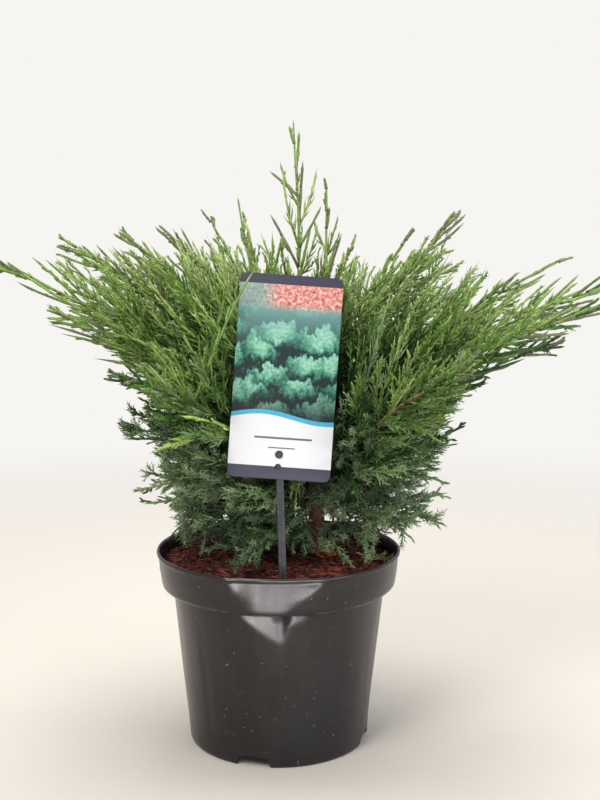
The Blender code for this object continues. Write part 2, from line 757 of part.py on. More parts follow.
def join_meshes(name, meshes):
    """One solid of the stem and its sprays, without one spray where all of them leave a fault."""
    for left_out in range(len(meshes)):
        sprays = [mesh.copy() for index, mesh in enumerate(meshes[1:], 1) if index != left_out]
        joined = apply_boolean(name, meshes[0].copy(), sprays, "UNION", "MANIFOLD")
        if is_closed(joined):
            break
    return keep_whole(joined)


def cut_at_trunk(name, mesh):
    """What is left of a limb outside the trunk, a gap clear of its bark."""
    near_trunk = trunk_mesh("near_trunk", GAP)
    return keep_whole(apply_boolean(name, mesh, [near_trunk], "DIFFERENCE", "MANIFOLD"))


def build_trunk(material):
    return add_part("trunk", trunk_mesh("trunk"), material, smooth_under=50)


def build_bough(plume, axis, material):
    """The bare inner stretch of a plume's curve, as one tapering limb."""
    base_radius = BOUGH_RADIUS + BOUGH_RADIUS_GAIN * axis_length(axis)
    points = []
    radii = []
    for step in range(BOUGH_RINGS):
        share = step / (BOUGH_RINGS - 1)
        points.append(along(axis, BOUGH_SHARE * share)[0])
        radii.append(base_radius * (1 - share) + base_radius * BOUGH_TAPER * share)
    name = f"bough_{plume.name}"
    mesh = cut_at_trunk(name, tapered_tube(name, points, radii, BOUGH_SIDES))
    return add_part(name, mesh, material, smooth_under=50)


def build_mass(plume, axis, space, material, seed):
    """The foliage on the outer stretch of a plume's curve: stem and sprays in one solid."""
    length = axis_length(axis)
    start = BOUGH_SHARE + GAP / length if plume.bough else 0.0
    name = f"plume_{plume.name}"
    # On a plume with no bough, the leaves start where the trunk's bark ends.
    leafy = start if plume.bough else LEAVES_FROM * trunk_radius(plume.start) / length
    meshes = [stem_mesh(plume, axis, start, space)]
    meshes += sprays_of(plume, axis, leafy, space, seed)
    mesh = join_meshes(name, meshes)
    if not plume.bough:
        mesh = cut_at_trunk(name, mesh)
    return add_part(name, mesh, material)


def build_plant(bark, foliage):
    build_trunk(bark)
    trunk = [trunk_point(step / 60) for step in range(61)]
    axes = [plume_axis(plume, seed) for seed, plume in enumerate(PLUMES)]
    for seed, (plume, axis) in enumerate(zip(PLUMES, axes)):
        others = [point for other in axes if other is not axis for point in other]
        if plume.bough:
            build_bough(plume, axis, bark)
        build_mass(plume, axis, Space(axis, others, trunk), foliage, 100 + seed)


def main():
    black_plastic = make_material("black_plastic", (0.018, 0.017, 0.017), 0.32)
    peat = make_material("peat", (0.060, 0.024, 0.015), 0.95)
    bark = make_material("bark", (0.130, 0.060, 0.032), 0.85)
    foliage = make_material("foliage", (0.090, 0.150, 0.035), 0.65)
    card = make_material("card", (0.820, 0.820, 0.830), 0.40)
    grey_plastic = make_material("grey_plastic", (0.045, 0.045, 0.045), 0.45)
    build_pot(black_plastic)
    build_soil(peat, soil_slot())
    build_label_card(card)
    build_label_stem(grey_plastic)
    build_plant(bark, foliage)


clear_scene()
PARTS = new_collection("potted_juniper")
CUTTERS = new_collection("cutters")
main()
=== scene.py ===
# Potted savin juniper: the looks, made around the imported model.
# Metres, +Z up, the front faces -Y, and the origin is the middle of the pot's underside.
import json
import math
import random

import bmesh
import bpy
import numpy as np
from mathutils import Matrix, Vector, noise
from mathutils.kdtree import KDTree

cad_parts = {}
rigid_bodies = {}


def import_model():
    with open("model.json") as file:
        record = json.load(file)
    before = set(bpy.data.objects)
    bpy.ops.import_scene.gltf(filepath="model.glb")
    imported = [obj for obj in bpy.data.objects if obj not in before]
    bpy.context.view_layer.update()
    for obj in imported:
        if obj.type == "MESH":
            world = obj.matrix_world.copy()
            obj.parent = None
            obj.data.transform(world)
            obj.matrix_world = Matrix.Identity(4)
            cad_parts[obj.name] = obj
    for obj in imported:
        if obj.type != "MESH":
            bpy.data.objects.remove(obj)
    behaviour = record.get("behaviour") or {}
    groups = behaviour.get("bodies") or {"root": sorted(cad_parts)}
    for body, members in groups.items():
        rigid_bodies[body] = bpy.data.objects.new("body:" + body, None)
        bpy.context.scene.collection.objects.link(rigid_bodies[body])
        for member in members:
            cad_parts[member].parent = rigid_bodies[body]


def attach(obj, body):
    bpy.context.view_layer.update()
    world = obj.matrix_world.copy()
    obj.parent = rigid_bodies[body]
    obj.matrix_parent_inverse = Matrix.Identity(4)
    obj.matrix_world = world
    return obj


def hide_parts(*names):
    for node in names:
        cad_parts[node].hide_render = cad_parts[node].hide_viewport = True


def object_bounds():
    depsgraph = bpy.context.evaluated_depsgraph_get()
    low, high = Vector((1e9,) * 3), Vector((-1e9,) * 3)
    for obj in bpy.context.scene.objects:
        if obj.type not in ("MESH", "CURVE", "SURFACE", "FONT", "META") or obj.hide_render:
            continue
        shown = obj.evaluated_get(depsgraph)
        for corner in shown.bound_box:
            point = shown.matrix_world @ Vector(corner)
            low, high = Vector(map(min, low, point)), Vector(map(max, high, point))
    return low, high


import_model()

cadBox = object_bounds()
up = Vector((0, 0, 1))


# Camera, floor and light

cameraSet = {"place": (0.0168, -0.909, 0.391), "lookDown": 7.9, "lens": 54.0, "sensor": 36.0}
floorSet = {"radius": 3.0, "colour": (0.600, 0.556, 0.498), "roughness": 0.9, "fade": (0.34, 1.40)}
roomLight = {"wall": (0.930, 0.914, 0.886), "colour": (0.93, 0.95, 1.0), "strength": 0.62}
# place, aimed at, width, height, watts, colour
softLights = {
    "keyLight": ((-0.60, -1.00, 1.35), (0.00, 0.00, 0.24), 0.60, 0.80, 16.0, (1.0, 0.985, 0.95)),
    "fillLight": ((1.20, -0.95, 0.44), (0.00, 0.00, 0.20), 0.90, 0.90, 11.5, (0.97, 0.985, 1.0)),
    "topLight": ((0.10, 0.30, 1.60), (0.00, 0.00, 0.25), 1.00, 1.00, 24.0, (1.0, 0.99, 0.96)),
    "lowLight": ((-0.02, -0.75, 0.070), (-0.02, 0.00, 0.070), 0.60, 0.16, 5.4, (1.0, 0.97, 1.0)),
}


def setInputs(tree, node, values):
    # an output is linked, and a number or a colour is set
    for name, value in values.items():
        socket = node.inputs[name]
        if isinstance(value, bpy.types.NodeSocket):
            tree.links.new(value, socket)
        elif socket.type == "RGBA":
            socket.default_value = (*value, 1)
        else:
            socket.default_value = value


def addNode(tree, kind, inputs, **settings):
    node = tree.nodes.new(kind)
    for name, value in settings.items():
        setattr(node, name, value)
    setInputs(tree, node, inputs)
    return node


def setUpRoom():
    scene = bpy.context.scene
    scene.view_settings.view_transform = "Standard"
    cam = bpy.data.cameras.new("photoCamera")
    cam.lens = cameraSet["lens"]
    cam.sensor_width = cameraSet["sensor"]
    camObject = addObject("photoCamera", cam)
    camObject.location = cameraSet["place"]
    camObject.rotation_euler = (math.radians(90 - cameraSet["lookDown"]), 0, 0)
    scene.camera = camObject

    # the camera sees a pale wall, while the plant is lit more softly
    world = bpy.data.worlds.new("brightRoom")
    scene.world = world
    world.use_nodes = True
    tree = world.node_tree
    room = tree.nodes["Background"]
    setInputs(tree, room, {"Color": roomLight["colour"], "Strength": roomLight["strength"]})
    wall = addNode(tree, "ShaderNodeBackground", {"Color": roomLight["wall"]})
    seen = addNode(tree, "ShaderNodeLightPath", {}).outputs["Is Camera Ray"]
    choose = addNode(tree, "ShaderNodeMixShader", {0: seen, 1: room.outputs[0], 2: wall.outputs[0]})
    setInputs(tree, tree.nodes["World Output"], {"Surface": choose.outputs[0]})

    for name, (place, target, width, height, watts, colour) in softLights.items():
        light = bpy.data.lights.new(name, "AREA")
        light.shape = "RECTANGLE"
        light.size = width
        light.size_y = height
        light.energy = watts
        light.color = colour
        lamp = addObject(name, light)
        lamp.location = place
        lamp.visible_camera = False
        # the low one only puts a shine on the plastic
        lamp.visible_diffuse = name != "lowLight"
        aim = Vector(target) - Vector(place)
        lamp.rotation_euler = aim.to_track_quat("-Z", "Y").to_euler()

    shape = bmesh.new()
    bmesh.ops.create_circle(shape, cap_ends=True, segments=96, radius=floorSet["radius"])
    addPiece("paleFloor", shape, floorMaterial(), smooth=False)
    print("room, camera and lights are set")


def floorMaterial():
    # the floor runs out into the colour of the room, with no edge against it
    material, tree, shader = startMaterial("paleFloor", floorSet["colour"], floorSet["roughness"], 0.0)
    coords = addNode(tree, "ShaderNodeTexCoord", {})
    length = addNode(tree, "ShaderNodeVectorMath", {0: coords.outputs["Object"]}, operation="LENGTH")
    near, far = floorSet["fade"]
    run = {"From Min": near, "From Max": far, "Value": length.outputs["Value"]}
    fade = addNode(tree, "ShaderNodeMapRange", run, interpolation_type="SMOOTHSTEP")
    glow = addNode(tree, "ShaderNodeEmission", {"Color": roomLight["wall"]})
    layers = {0: fade.outputs["Result"], 1: shader.outputs[0], 2: glow.outputs[0]}
    mix = addNode(tree, "ShaderNodeMixShader", layers)
    setInputs(tree, tree.nodes["Material Output"], {"Surface": mix.outputs[0]})
    return material


# Meshes

def addObject(name, data):
    made = bpy.data.objects.new(name, data)
    bpy.context.scene.collection.objects.link(made)
    return made


def meshOf(name, shape):
    mesh = bpy.data.meshes.new(name)
    shape.to_mesh(mesh)
    shape.free()
    return mesh


def addPiece(name, shape, material, smooth=True, sharpOver=None):
    mesh = meshOf(name, shape) if isinstance(shape, bmesh.types.BMesh) else shape
    mesh.materials.clear()
    mesh.materials.append(material)
    if smooth:
        mesh.shade_smooth()
        if sharpOver:
            mesh.set_sharp_from_angle(angle=math.radians(sharpOver))
    return addObject(name, mesh)


def finishPiece(piece, slotName, *nodes):
    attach(piece, "root")
    if nodes:
        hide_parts(*nodes)


def arrayMesh(name, points, faces):
    # one mesh from an array of points and one of triangles
    mesh = bpy.data.meshes.new(name)
    mesh.vertices.add(len(points))
    mesh.vertices.foreach_set("co", np.ascontiguousarray(points, np.float32).ravel())
    mesh.loops.add(3 * len(faces))
    mesh.loops.foreach_set("vertex_index", np.ascontiguousarray(faces, np.int32).ravel())
    mesh.polygons.add(len(faces))
    mesh.polygons.foreach_set("loop_start", np.arange(0, 3 * len(faces), 3, dtype=np.int32))
    mesh.update(calc_edges=True)
    return mesh


def moved(shape, matrix):
    bmesh.ops.transform(shape, matrix=matrix, verts=shape.verts)
    return shape


def boxOf(*size):
    shape = bmesh.new()
    bmesh.ops.create_cube(shape, size=1)
    return moved(shape, Matrix.Diagonal((*size, 1)))


def pinOf(radius, depth):
    shape = bmesh.new()
    bmesh.ops.create_cone(shape, cap_ends=True, segments=32, radius1=radius, radius2=radius, depth=depth)
    return shape


def bevelled(shape, edges, offset, segments):
    bmesh.ops.bevel(
        shape, geom=edges, offset=offset, segments=segments, profile=0.5, affect="EDGES", material=-1
    )
    return shape


def depthOf(edge):
    return abs(edge.verts[0].co.y - edge.verts[1].co.y)


def cutAway(piece, cutters):
    # the piece's mesh becomes what the cutters leave of it
    group = bpy.data.collections.new("cutters")
    bpy.context.scene.collection.children.link(group)
    for index, cutter in enumerate(cutters):
        name = f"cutter{index}"
        group.objects.link(bpy.data.objects.new(name, meshOf(name, cutter)))
    cut = piece.modifiers.new("Cut", "BOOLEAN")
    cut.operation = "DIFFERENCE"
    cut.operand_type = "COLLECTION"
    cut.collection = group
    graph = bpy.context.evaluated_depsgraph_get()
    piece.data = bpy.data.meshes.new_from_object(piece.evaluated_get(graph))
    piece.modifiers.clear()
    for cutter in list(group.objects):
        bpy.data.objects.remove(cutter)
    bpy.data.collections.remove(group)


# Materials

def startMaterial(name, colour, roughness, specular):
    material = bpy.data.materials.new(name)
    material.use_nodes = True
    tree = material.node_tree
    shader = tree.nodes["Principled BSDF"]
    setInputs(tree, shader, {"Base Color": colour, "Roughness": roughness, "Specular IOR Level": specular})
    return material, tree, shader


def noiseOf(tree, scale, detail=3.0, roughness=0.55, stretch=(1, 1, 1), source=None, output="Fac"):
    # a cloudy pattern on Object coordinates, or on another source of them
    if source is None:
        source = addNode(tree, "ShaderNodeTexCoord", {}).outputs["Object"]
    mapping = addNode(tree, "ShaderNodeMapping", {"Vector": source, "Scale": stretch})
    values = {"Vector": mapping.outputs["Vector"], "Scale": scale, "Detail": detail, "Roughness": roughness}
    return addNode(tree, "ShaderNodeTexNoise", values).outputs[output]


def rampOf(tree, source, stops):
    # a stop is a place and a colour, or one number for a grey
    ramp = addNode(tree, "ShaderNodeValToRGB", {"Fac": source})
    elements = ramp.color_ramp.elements
    while len(elements) < len(stops):
        elements.new(0.5)
    for element, (place, colour) in zip(elements, stops):
        element.position = place
        element.color = (*colour, 1) if isinstance(colour, tuple) else (colour, colour, colour, 1)
    return ramp.outputs["Color"]


def mixColours(tree, factor, first, second, blend="MIX"):
    colours = {0: factor, 6: first, 7: second}
    return addNode(tree, "ShaderNodeMix", colours, data_type="RGBA", blend_type=blend).outputs[2]


def bumpOf(tree, shader, height, strength, distance):
    bump = addNode(tree, "ShaderNodeBump", {"Height": height, "Strength": strength, "Distance": distance})
    setInputs(tree, shader, {"Normal": bump.outputs["Normal"]})


# Pot

potSet = {
    "height": 0.150, "lipRadius": 0.0950, "lipHeight": 0.0025, "bandTop": 0.0937, "bandLow": 0.0912,
    "bandHeight": 0.0275, "bandBulge": 0.0003, "wallTop": 0.0828, "base": 0.0695, "wall": 0.0014,
    "panel": 0.008, "footRing": 0.0040, "discRadius": 0.030, "steps": 240, "sway": 0.00045,
    "swayOver": 0.05, "notchTurn": -15.0, "notchCount": 4, "notchWidth": 0.029, "notchDepth": 0.016,
    "notchHeight": 0.0078, "notchTop": 0.80, "notchCorner": 0.0035,
    "colour": (0.0080, 0.0048, 0.0042), "paintedSheenColour": (0.0078, 0.0084, 0.0112),
    "scuff": (0.026, 0.023, 0.022), "specks": (0.24, 0.20, 0.17), "paleLine": (0.150, 0.130, 0.120),
    "roughness": (0.20, 0.36), "specularTint": (1.0, 0.95, 0.93),
    # degrees round from the front, height, half width in degrees, half height, depth
    "dents": (
        (-34.0, 0.070, 15.0, 0.045, 0.0010), (33.0, 0.085, 13.0, 0.040, 0.0009),
        (3.0, 0.050, 16.0, 0.034, 0.0008), (9.0, 0.055, 5.0, 0.060, 0.0004),
        (-26.0, 0.060, 4.0, 0.060, 0.0004), (-45.0, 0.060, 5.0, 0.060, 0.0005),
        (118.0, 0.085, 22.0, 0.040, 0.0016), (-112.0, 0.060, 24.0, 0.034, 0.0013),
        (171.0, 0.100, 26.0, 0.020, 0.0015),
    ),
    # pressed in below an edge: degrees round from the front, its width to the left and to the right, at
    # the edge and where it ends, height of the edge, how far above and below it goes, depth at the edge
    # and at its end, and 1 for a plain fold or more for a flat one
    "folds": (
        (-3.0, (20.0, 16.0), (25.0, 9.0), 0.1470, 0.0040, 0.0245, 0.0034, -0.0022, 4),
        (2.0, (26.0, 0.0), (7.0, 0.0), 0.1225, 0.0002, 0.0250, 0.0060, 0.0, 1),
        (5.0, (8.0, 8.0), (12.0, 8.0), 0.1225, 0.0002, 0.0085, 0.0020, 0.0, 4),
        (150.0, (16.0, 2.0), (12.0, 0.0), 0.1225, 0.0002, 0.0240, 0.0030, 0.0, 1),
    ),
    "foldWander": 1.6,
}


def spinProfile(profile, steps):
    # turns (radius, height) points round Z into a closed skin
    shape = bmesh.new()
    points = [shape.verts.new((radius, 0, height)) for radius, height in profile]
    edges = [shape.edges.new(pair) for pair in zip(points, points[1:])]
    bmesh.ops.spin(
        shape, geom=points + edges, cent=(0, 0, 0), axis=(0, 0, 1), angle=math.tau, steps=steps,
        use_merge=True,
    )
    bmesh.ops.remove_doubles(shape, verts=shape.verts, dist=0.00002)
    bmesh.ops.recalc_face_normals(shape, faces=shape.faces)
    return shape


def evenPoints(profile, step):
    # points put in along a profile, so that none of its runs is longer than a step
    points = [profile[0]]
    for before, after in zip(profile, profile[1:]):
        count = max(1, math.ceil(math.dist(before, after) / step))
        points += [
            (before[0] + (after[0] - before[0]) * i / count, before[1] + (after[1] - before[1]) * i / count)
            for i in range(1, count + 1)
        ]
    return points


def asideOf(front, turn):
    # degrees to the right of a turn, from -180 to 180
    return (front - turn + 180) % 360 - 180


def dentDepth(angle, height):
    # how far the thin wall is pressed in, at an angle round from +X
    front = math.degrees(angle) + 90
    depth, pressed = 0.0, 0.0
    for turn, middle, halfWidth, halfHeight, most in potSet["dents"]:
        away = (asideOf(front, turn) / halfWidth) ** 2 + ((height - middle) / halfHeight) ** 2
        depth += most * max(0.0, 1 - away) ** 2
    # the edges of a fold are never straight
    spot = Vector((math.cos(angle), math.sin(angle), 9 * height)) * 3.5
    front += potSet["foldWander"] * noise.noise(spot)
    for turn, left, right, edge, above, below, most, least, power in potSet["folds"]:
        share = 1 - (edge - height) / below
        if share >= 0 and height <= edge + above:
            share = min(1.0, share)
            aside = asideOf(front, turn)
            there, end = left if aside < 0 else right
            aside = abs(aside) / (end + (there - end) * share + 0.001)
            pressed += (least + (most - least) * share) * max(0.0, 1 - aside**power)
    return depth + pressed


def pressIn(points):
    # what lies in the pot gives way to its dents
    for point in points:
        radius = math.hypot(point[0], point[1])
        if radius > soilSet["giveOver"]:
            give = dentDepth(math.atan2(point[1], point[0]), point[2])
            give *= (radius / soilSet["edgeRadius"]) ** 4
            point[0] *= 1 - give / radius
            point[1] *= 1 - give / radius


def potMaterial():
    # thin moulded plastic with fine flow lines, scuffs, and dust where it was handled, and painted sheen:
    # cloudy patches of painted reflection that turn its black cooler
    p = potSet
    material, tree, shader = startMaterial("blackPlastic", p["colour"], 0.3, 0.46)
    # painted sheen: the black turns cooler in cloudy patches, as a painted reflection
    sheenPattern = noiseOf(tree, 11, 2, 0.5, (1.0, 1.0, 0.5))
    plain = rampOf(tree, sheenPattern, ((0.40, p["colour"]), (0.64, p["paintedSheenColour"])))
    worn = rampOf(tree, noiseOf(tree, 60, 6, 0.7, (1.0, 1.0, 5.0)), ((0.56, 0), (0.78, 1)))
    sheenAndWear = mixColours(tree, worn, plain, p["scuff"])
    speckle = rampOf(tree, noiseOf(tree, 420, 1, 0.5), ((0.765, 0), (0.79, 1)))
    sheenAndWear = mixColours(tree, speckle, sheenAndWear, p["specks"])
    # a broken pale line runs round the pot at the band's lower edge and the ledge under it
    coords = addNode(tree, "ShaderNodeTexCoord", {})
    parts = addNode(tree, "ShaderNodeSeparateXYZ", {0: coords.outputs["Object"]})
    ledge = p["height"] - p["bandHeight"]
    run = {"From Min": ledge - 0.004, "From Max": ledge + 0.006, "Value": parts.outputs["Z"]}
    level = addNode(tree, "ShaderNodeMapRange", run).outputs["Result"]
    line = rampOf(tree, level, ((0.36, 0), (0.42, 1), (0.50, 1), (0.58, 0)))
    broken = rampOf(tree, noiseOf(tree, 75, 4, 0.7), ((0.42, 0), (0.62, 0.8)))
    line = mixColours(tree, 1.0, line, broken, "MULTIPLY")
    sheenAndWear = mixColours(tree, line, sheenAndWear, p["paleLine"])
    low, high = p["roughness"]
    gloss = rampOf(tree, noiseOf(tree, 38, 3, 0.6, (1.0, 1.0, 0.10)), ((0.34, low), (0.66, high)))
    setInputs(tree, shader, {"Base Color": sheenAndWear, "Roughness": gloss, "Specular Tint": p["specularTint"]})
    bumpOf(tree, shader, noiseOf(tree, 26, 4), 0.45, 0.0011)
    return material


def buildPot(material):
    p = potSet
    wallRun = p["height"] - p["bandHeight"]
    lipLow = p["height"] - p["lipHeight"]
    wall = p["wall"]
    floorTop = p["panel"] + 0.002
    slope = (p["wallTop"] - p["base"]) / wallRun
    inside = [
        (0, 0.002),
        (p["discRadius"] - 0.002, 0.002),
        (p["discRadius"] + 0.0025, floorTop),
        (p["base"] + slope * floorTop - wall - 0.003, floorTop),
        (p["base"] + slope * floorTop - wall, floorTop + 0.003),
        (p["wallTop"] - wall, wallRun),
        (p["bandLow"] - wall, wallRun + wall),
        (p["bandTop"] - wall, p["height"] - 0.002),
        (p["bandTop"] - wall + 0.0008, p["height"] - 0.0002),
    ]
    lip = [
        (p["lipRadius"] - 0.0008, p["height"]),
        (p["lipRadius"] - 0.0002, p["height"] - 0.0005),
        (p["lipRadius"], p["height"] - 0.0012),
        (p["lipRadius"] - 0.0002, lipLow),
        (p["bandTop"] + 0.0003, lipLow - 0.0004),
        (p["bandTop"], lipLow - 0.0012),
    ]
    outside = [
        (p["bandTop"] - 0.0002, lipLow - 0.0040),
        ((p["bandTop"] + p["bandLow"]) / 2 + p["bandBulge"], (lipLow + wallRun) / 2),
        (p["bandLow"] + 0.0003, wallRun + 0.0034),
        (p["bandLow"] - 0.0003, wallRun + 0.0014),
        (p["bandLow"] - 0.0014, wallRun + 0.0003),
        (p["bandLow"] - 0.0030, wallRun - 0.0001),
        (p["wallTop"] + 0.0012, wallRun - 0.0003),
        (p["wallTop"] + 0.0001, wallRun - 0.0014),
        (p["wallTop"] - 0.0003, wallRun - 0.0034),
        (p["base"] + 0.0004, 0.0030),
        (p["base"] - 0.0004, 0.0006),
        (p["base"] - 0.0012, 0),
        (p["base"] - p["footRing"] + 0.0006, 0),
        (p["base"] - p["footRing"], 0.0006),
        (p["base"] - p["footRing"] - 0.0010, p["panel"]),
        (p["discRadius"] + 0.0045, p["panel"]),
        (p["discRadius"], 0),
        (0, 0),
    ]
    profile = evenPoints(inside + lip[:1], 0.007)[:-1] + evenPoints(lip + outside, 0.0028)
    shape = spinProfile(profile, p["steps"])
    # the thin wall is never quite round
    for vertex in shape.verts:
        place = vertex.co
        radius = math.hypot(place.x, place.y)
        if radius < p["swayOver"]:
            continue
        angle = math.atan2(place.y, place.x)
        wave = math.sin(2 * angle + 0.7) + 0.6 * math.sin(5 * angle + 36 * place.z)
        wave += 0.9 * noise.noise(Vector((math.cos(angle), math.sin(angle), place.z * 9)) * 2.2)
        push = -p["sway"] * (1.6 + wave) * min(1, place.z / 0.02) * 0.8
        scale = 1 + (push - dentDepth(angle, place.z)) / radius
        place.x *= scale
        place.y *= scale
    pot = addPiece("potShell", shape, material, sharpOver=48)

    notches = []
    for index in range(p["notchCount"]):
        angle = math.radians(p["notchTurn"] + 360 / p["notchCount"] * index)
        cutter = boxOf(p["notchWidth"], p["notchDepth"], 2 * p["notchHeight"])
        upper = [v for v in cutter.verts if v.co.z > 0]
        bmesh.ops.scale(cutter, vec=(p["notchTop"], 1, 1), verts=upper)
        corners = [e for e in cutter.edges if depthOf(e) > 0.001 and all(v.co.z > 0 for v in e.verts)]
        bevelled(cutter, corners, p["notchCorner"], 4)
        outward = Vector((math.sin(angle), -math.cos(angle), 0)) * (p["base"] + 0.001)
        notches.append(moved(cutter, Matrix.Translation(outward) @ Matrix.Rotation(angle, 4, "Z")))
    cutAway(pot, notches)
    finishPiece(pot, "black_plastic", "pot")
    print("pot is turned and notched")


# Soil

soilSet = {
    "top": 0.1455, "edge": 0.1410, "flatRadius": 0.045, "edgeRadius": 0.0914, "depth": 0.008,
    "relief": 0.0022, "seed": 7, "giveOver": 0.06, "chips": 1700, "chipReach": 0.0895,
    "strandRoot": 0.086, "strandReach": 0.0905,
    "colours": ((0.008, 0.003, 0.003), (0.046, 0.010, 0.008), (0.150, 0.037, 0.027)),
}
# count, length, width, colours
soilStrands = {
    "cocoFibres": (
        1500, (0.006, 0.021), 0.00056, ((0.060, 0.013, 0.009), (0.240, 0.058, 0.036), (0.52, 0.215, 0.140))
    ),
    "dryNeedles": (
        420, (0.004, 0.010), 0.00035, ((0.12, 0.045, 0.018), (0.24, 0.100, 0.040), (0.40, 0.22, 0.10))
    ),
}
# place, spread, count, length, how steep, colours
deadSprigs = {
    "rustyTuft": (
        (0.038, -0.011), 0.003, 14, 0.011, 1.4,
        ((0.26, 0.075, 0.024), (0.58, 0.21, 0.070), (0.80, 0.42, 0.18)),
    ),
    "tanSprigs": (
        (0.080, -0.017), 0.007, 20, 0.016, 0.8,
        ((0.20, 0.165, 0.075), (0.42, 0.36, 0.175), (0.62, 0.56, 0.33)),
    ),
}


def soilHeight(radius):
    share = max(0.0, (radius - soilSet["flatRadius"]) / (soilSet["edgeRadius"] - soilSet["flatRadius"]))
    return soilSet["top"] + (soilSet["edge"] - soilSet["top"]) * min(1.0, share)


def soilRelief(x, y):
    # lumps of bark and peat, always under the level of the solid
    coarse = noise.noise(Vector((x, y, 0.3)) * 90)
    fine = noise.noise(Vector((x, y, 1.7)) * 330)
    return soilSet["relief"] * (0.62 * coarse + 0.38 * fine - 0.75)


def soilMaterial(name, colours, scale, roughness=0.92):
    material, tree, shader = startMaterial(name, colours[1], roughness, 0.25)
    lumps = noiseOf(tree, scale, 6, 0.7)
    dark, plain, light = colours
    between = tuple((a + b) / 2 for a, b in zip(dark, plain))
    colour = rampOf(tree, lumps, ((0.30, dark), (0.46, between), (0.60, plain), (0.74, light)))
    setInputs(tree, shader, {"Base Color": colour})
    bumpOf(tree, shader, lumps, 0.8, 0.0009)
    return material


def buildSoil():
    s = soilSet
    flat = [(0, s["top"]), (s["flatRadius"], s["top"]), (s["edgeRadius"], s["edge"])]
    skin = evenPoints(flat, 0.00075)
    below = [(s["edgeRadius"] - 0.0022, s["edge"] - s["depth"]), (0, s["edge"] - s["depth"])]
    shape = spinProfile(skin + below, 200)
    for vertex in shape.verts:
        if vertex.co.z > s["edge"] - 0.002:
            vertex.co.z += soilRelief(vertex.co.x, vertex.co.y)
    pressIn([vertex.co for vertex in shape.verts])
    finishPiece(addPiece("soilBed", shape, soilMaterial("peat", s["colours"], 260)), "peat", "soil")

    rng = np.random.default_rng(s["seed"])
    chips = scatterChips(rng, s["chips"])
    material = soilMaterial("barkChips", s["colours"], 420, 0.85)
    finishPiece(addPiece("barkChips", chips, material, smooth=False), "peat")
    for name, (count, length, width, colours) in soilStrands.items():
        mesh = scatterFibres(rng, name, count, length, width)
        finishPiece(addPiece(name, mesh, soilMaterial(name, colours, 150, 0.8)), "peat")
    layDeadSprigs(rng)
    print("soil, chips and fibres are laid")


def scatterOnSoil(rng, count, reach):
    radius = reach * np.sqrt(rng.random(count))
    angle = rng.random(count) * math.tau
    x, y = radius * np.cos(angle), radius * np.sin(angle)
    z = np.array([soilHeight(r) + soilRelief(a, b) for r, a, b in zip(radius, x, y)])
    return np.stack([x, y, z], axis=1)


def insideRim(centres, reach):
    # nothing that lies on the soil leaves the pot
    away = np.hypot(centres[..., 0], centres[..., 1])
    centres[..., :2] *= np.minimum(1, reach / np.maximum(away, 1e-6))[..., None]


def scatterChips(rng, count):
    # eight corners a chip, each squashed and turned at random, sunk by a third
    corners = np.array([(a, b, c) for a in (-1, 1) for b in (-1, 1) for c in (-1, 1)], float)
    sides = ((0.0010, 0.0052), (0.0005, 0.0020), (0.0003, 0.0009))
    size = np.stack([rng.uniform(low, high, count) for low, high in sides], axis=1)
    points = corners[None] * size[:, None] * rng.uniform(0.6, 1.1, (count, 8, 3))
    turn, tilt = rng.uniform(0, math.tau, count), rng.normal(0, 0.35, count)
    c, s = np.cos(tilt)[:, None], np.sin(tilt)[:, None]
    x, z = points[..., 0] * c - points[..., 2] * s, points[..., 0] * s + points[..., 2] * c
    c, s = np.cos(turn)[:, None], np.sin(turn)[:, None]
    points = np.stack([x * c - points[..., 1] * s, x * s + points[..., 1] * c, z], axis=-1)
    points += scatterOnSoil(rng, count, soilSet["chipReach"])[:, None] + np.array([0, 0, 0.0002])
    pressIn(points.reshape(-1, 3))
    quads = ((0, 1, 3, 2), (4, 6, 7, 5), (0, 4, 5, 1), (2, 3, 7, 6), (0, 2, 6, 4), (1, 5, 7, 3))
    faces = np.array([tri for a, b, c, d in quads for tri in ((a, b, c), (a, c, d))])
    every = (faces[None] + 8 * np.arange(count)[:, None, None]).reshape(-1, 3)
    return arrayMesh("barkChips", points.reshape(-1, 3), every)


def scatterFibres(rng, name, count, length, width):
    # thin three-sided strands that lie on the soil in shallow arcs
    root = scatterOnSoil(rng, count, soilSet["strandRoot"])
    run = rng.uniform(*length, count)
    turn = rng.uniform(0, math.tau, count)
    direction = np.stack([np.cos(turn), np.sin(turn), rng.normal(0.05, 0.10, count)], axis=1)
    bend = np.stack([-np.sin(turn), np.cos(turn), rng.normal(-0.05, 0.10, count)], axis=1)
    bend *= rng.normal(0, 0.45, count)[:, None]
    shares = np.linspace(-0.5, 0.5, 6)[:, None]
    path = direction[:, None] * shares + bend[:, None] * shares**2
    centres = root[:, None] + path * run[:, None, None]
    insideRim(centres, soilSet["strandReach"])
    # and no strand dips out of sight
    away = np.hypot(centres[..., 0], centres[..., 1])
    level = np.array([soilHeight(r) for r in away.ravel()]).reshape(count, -1)
    centres[..., 2] = np.clip(centres[..., 2], level - 0.0012, level + 0.0022)
    radii = np.full((count, 6), width) * np.array([0.5, 0.9, 1, 1, 0.9, 0.5])
    points, faces = strandArrays(centres, radii, 3)
    pressIn(points)
    return arrayMesh(name, points, faces)


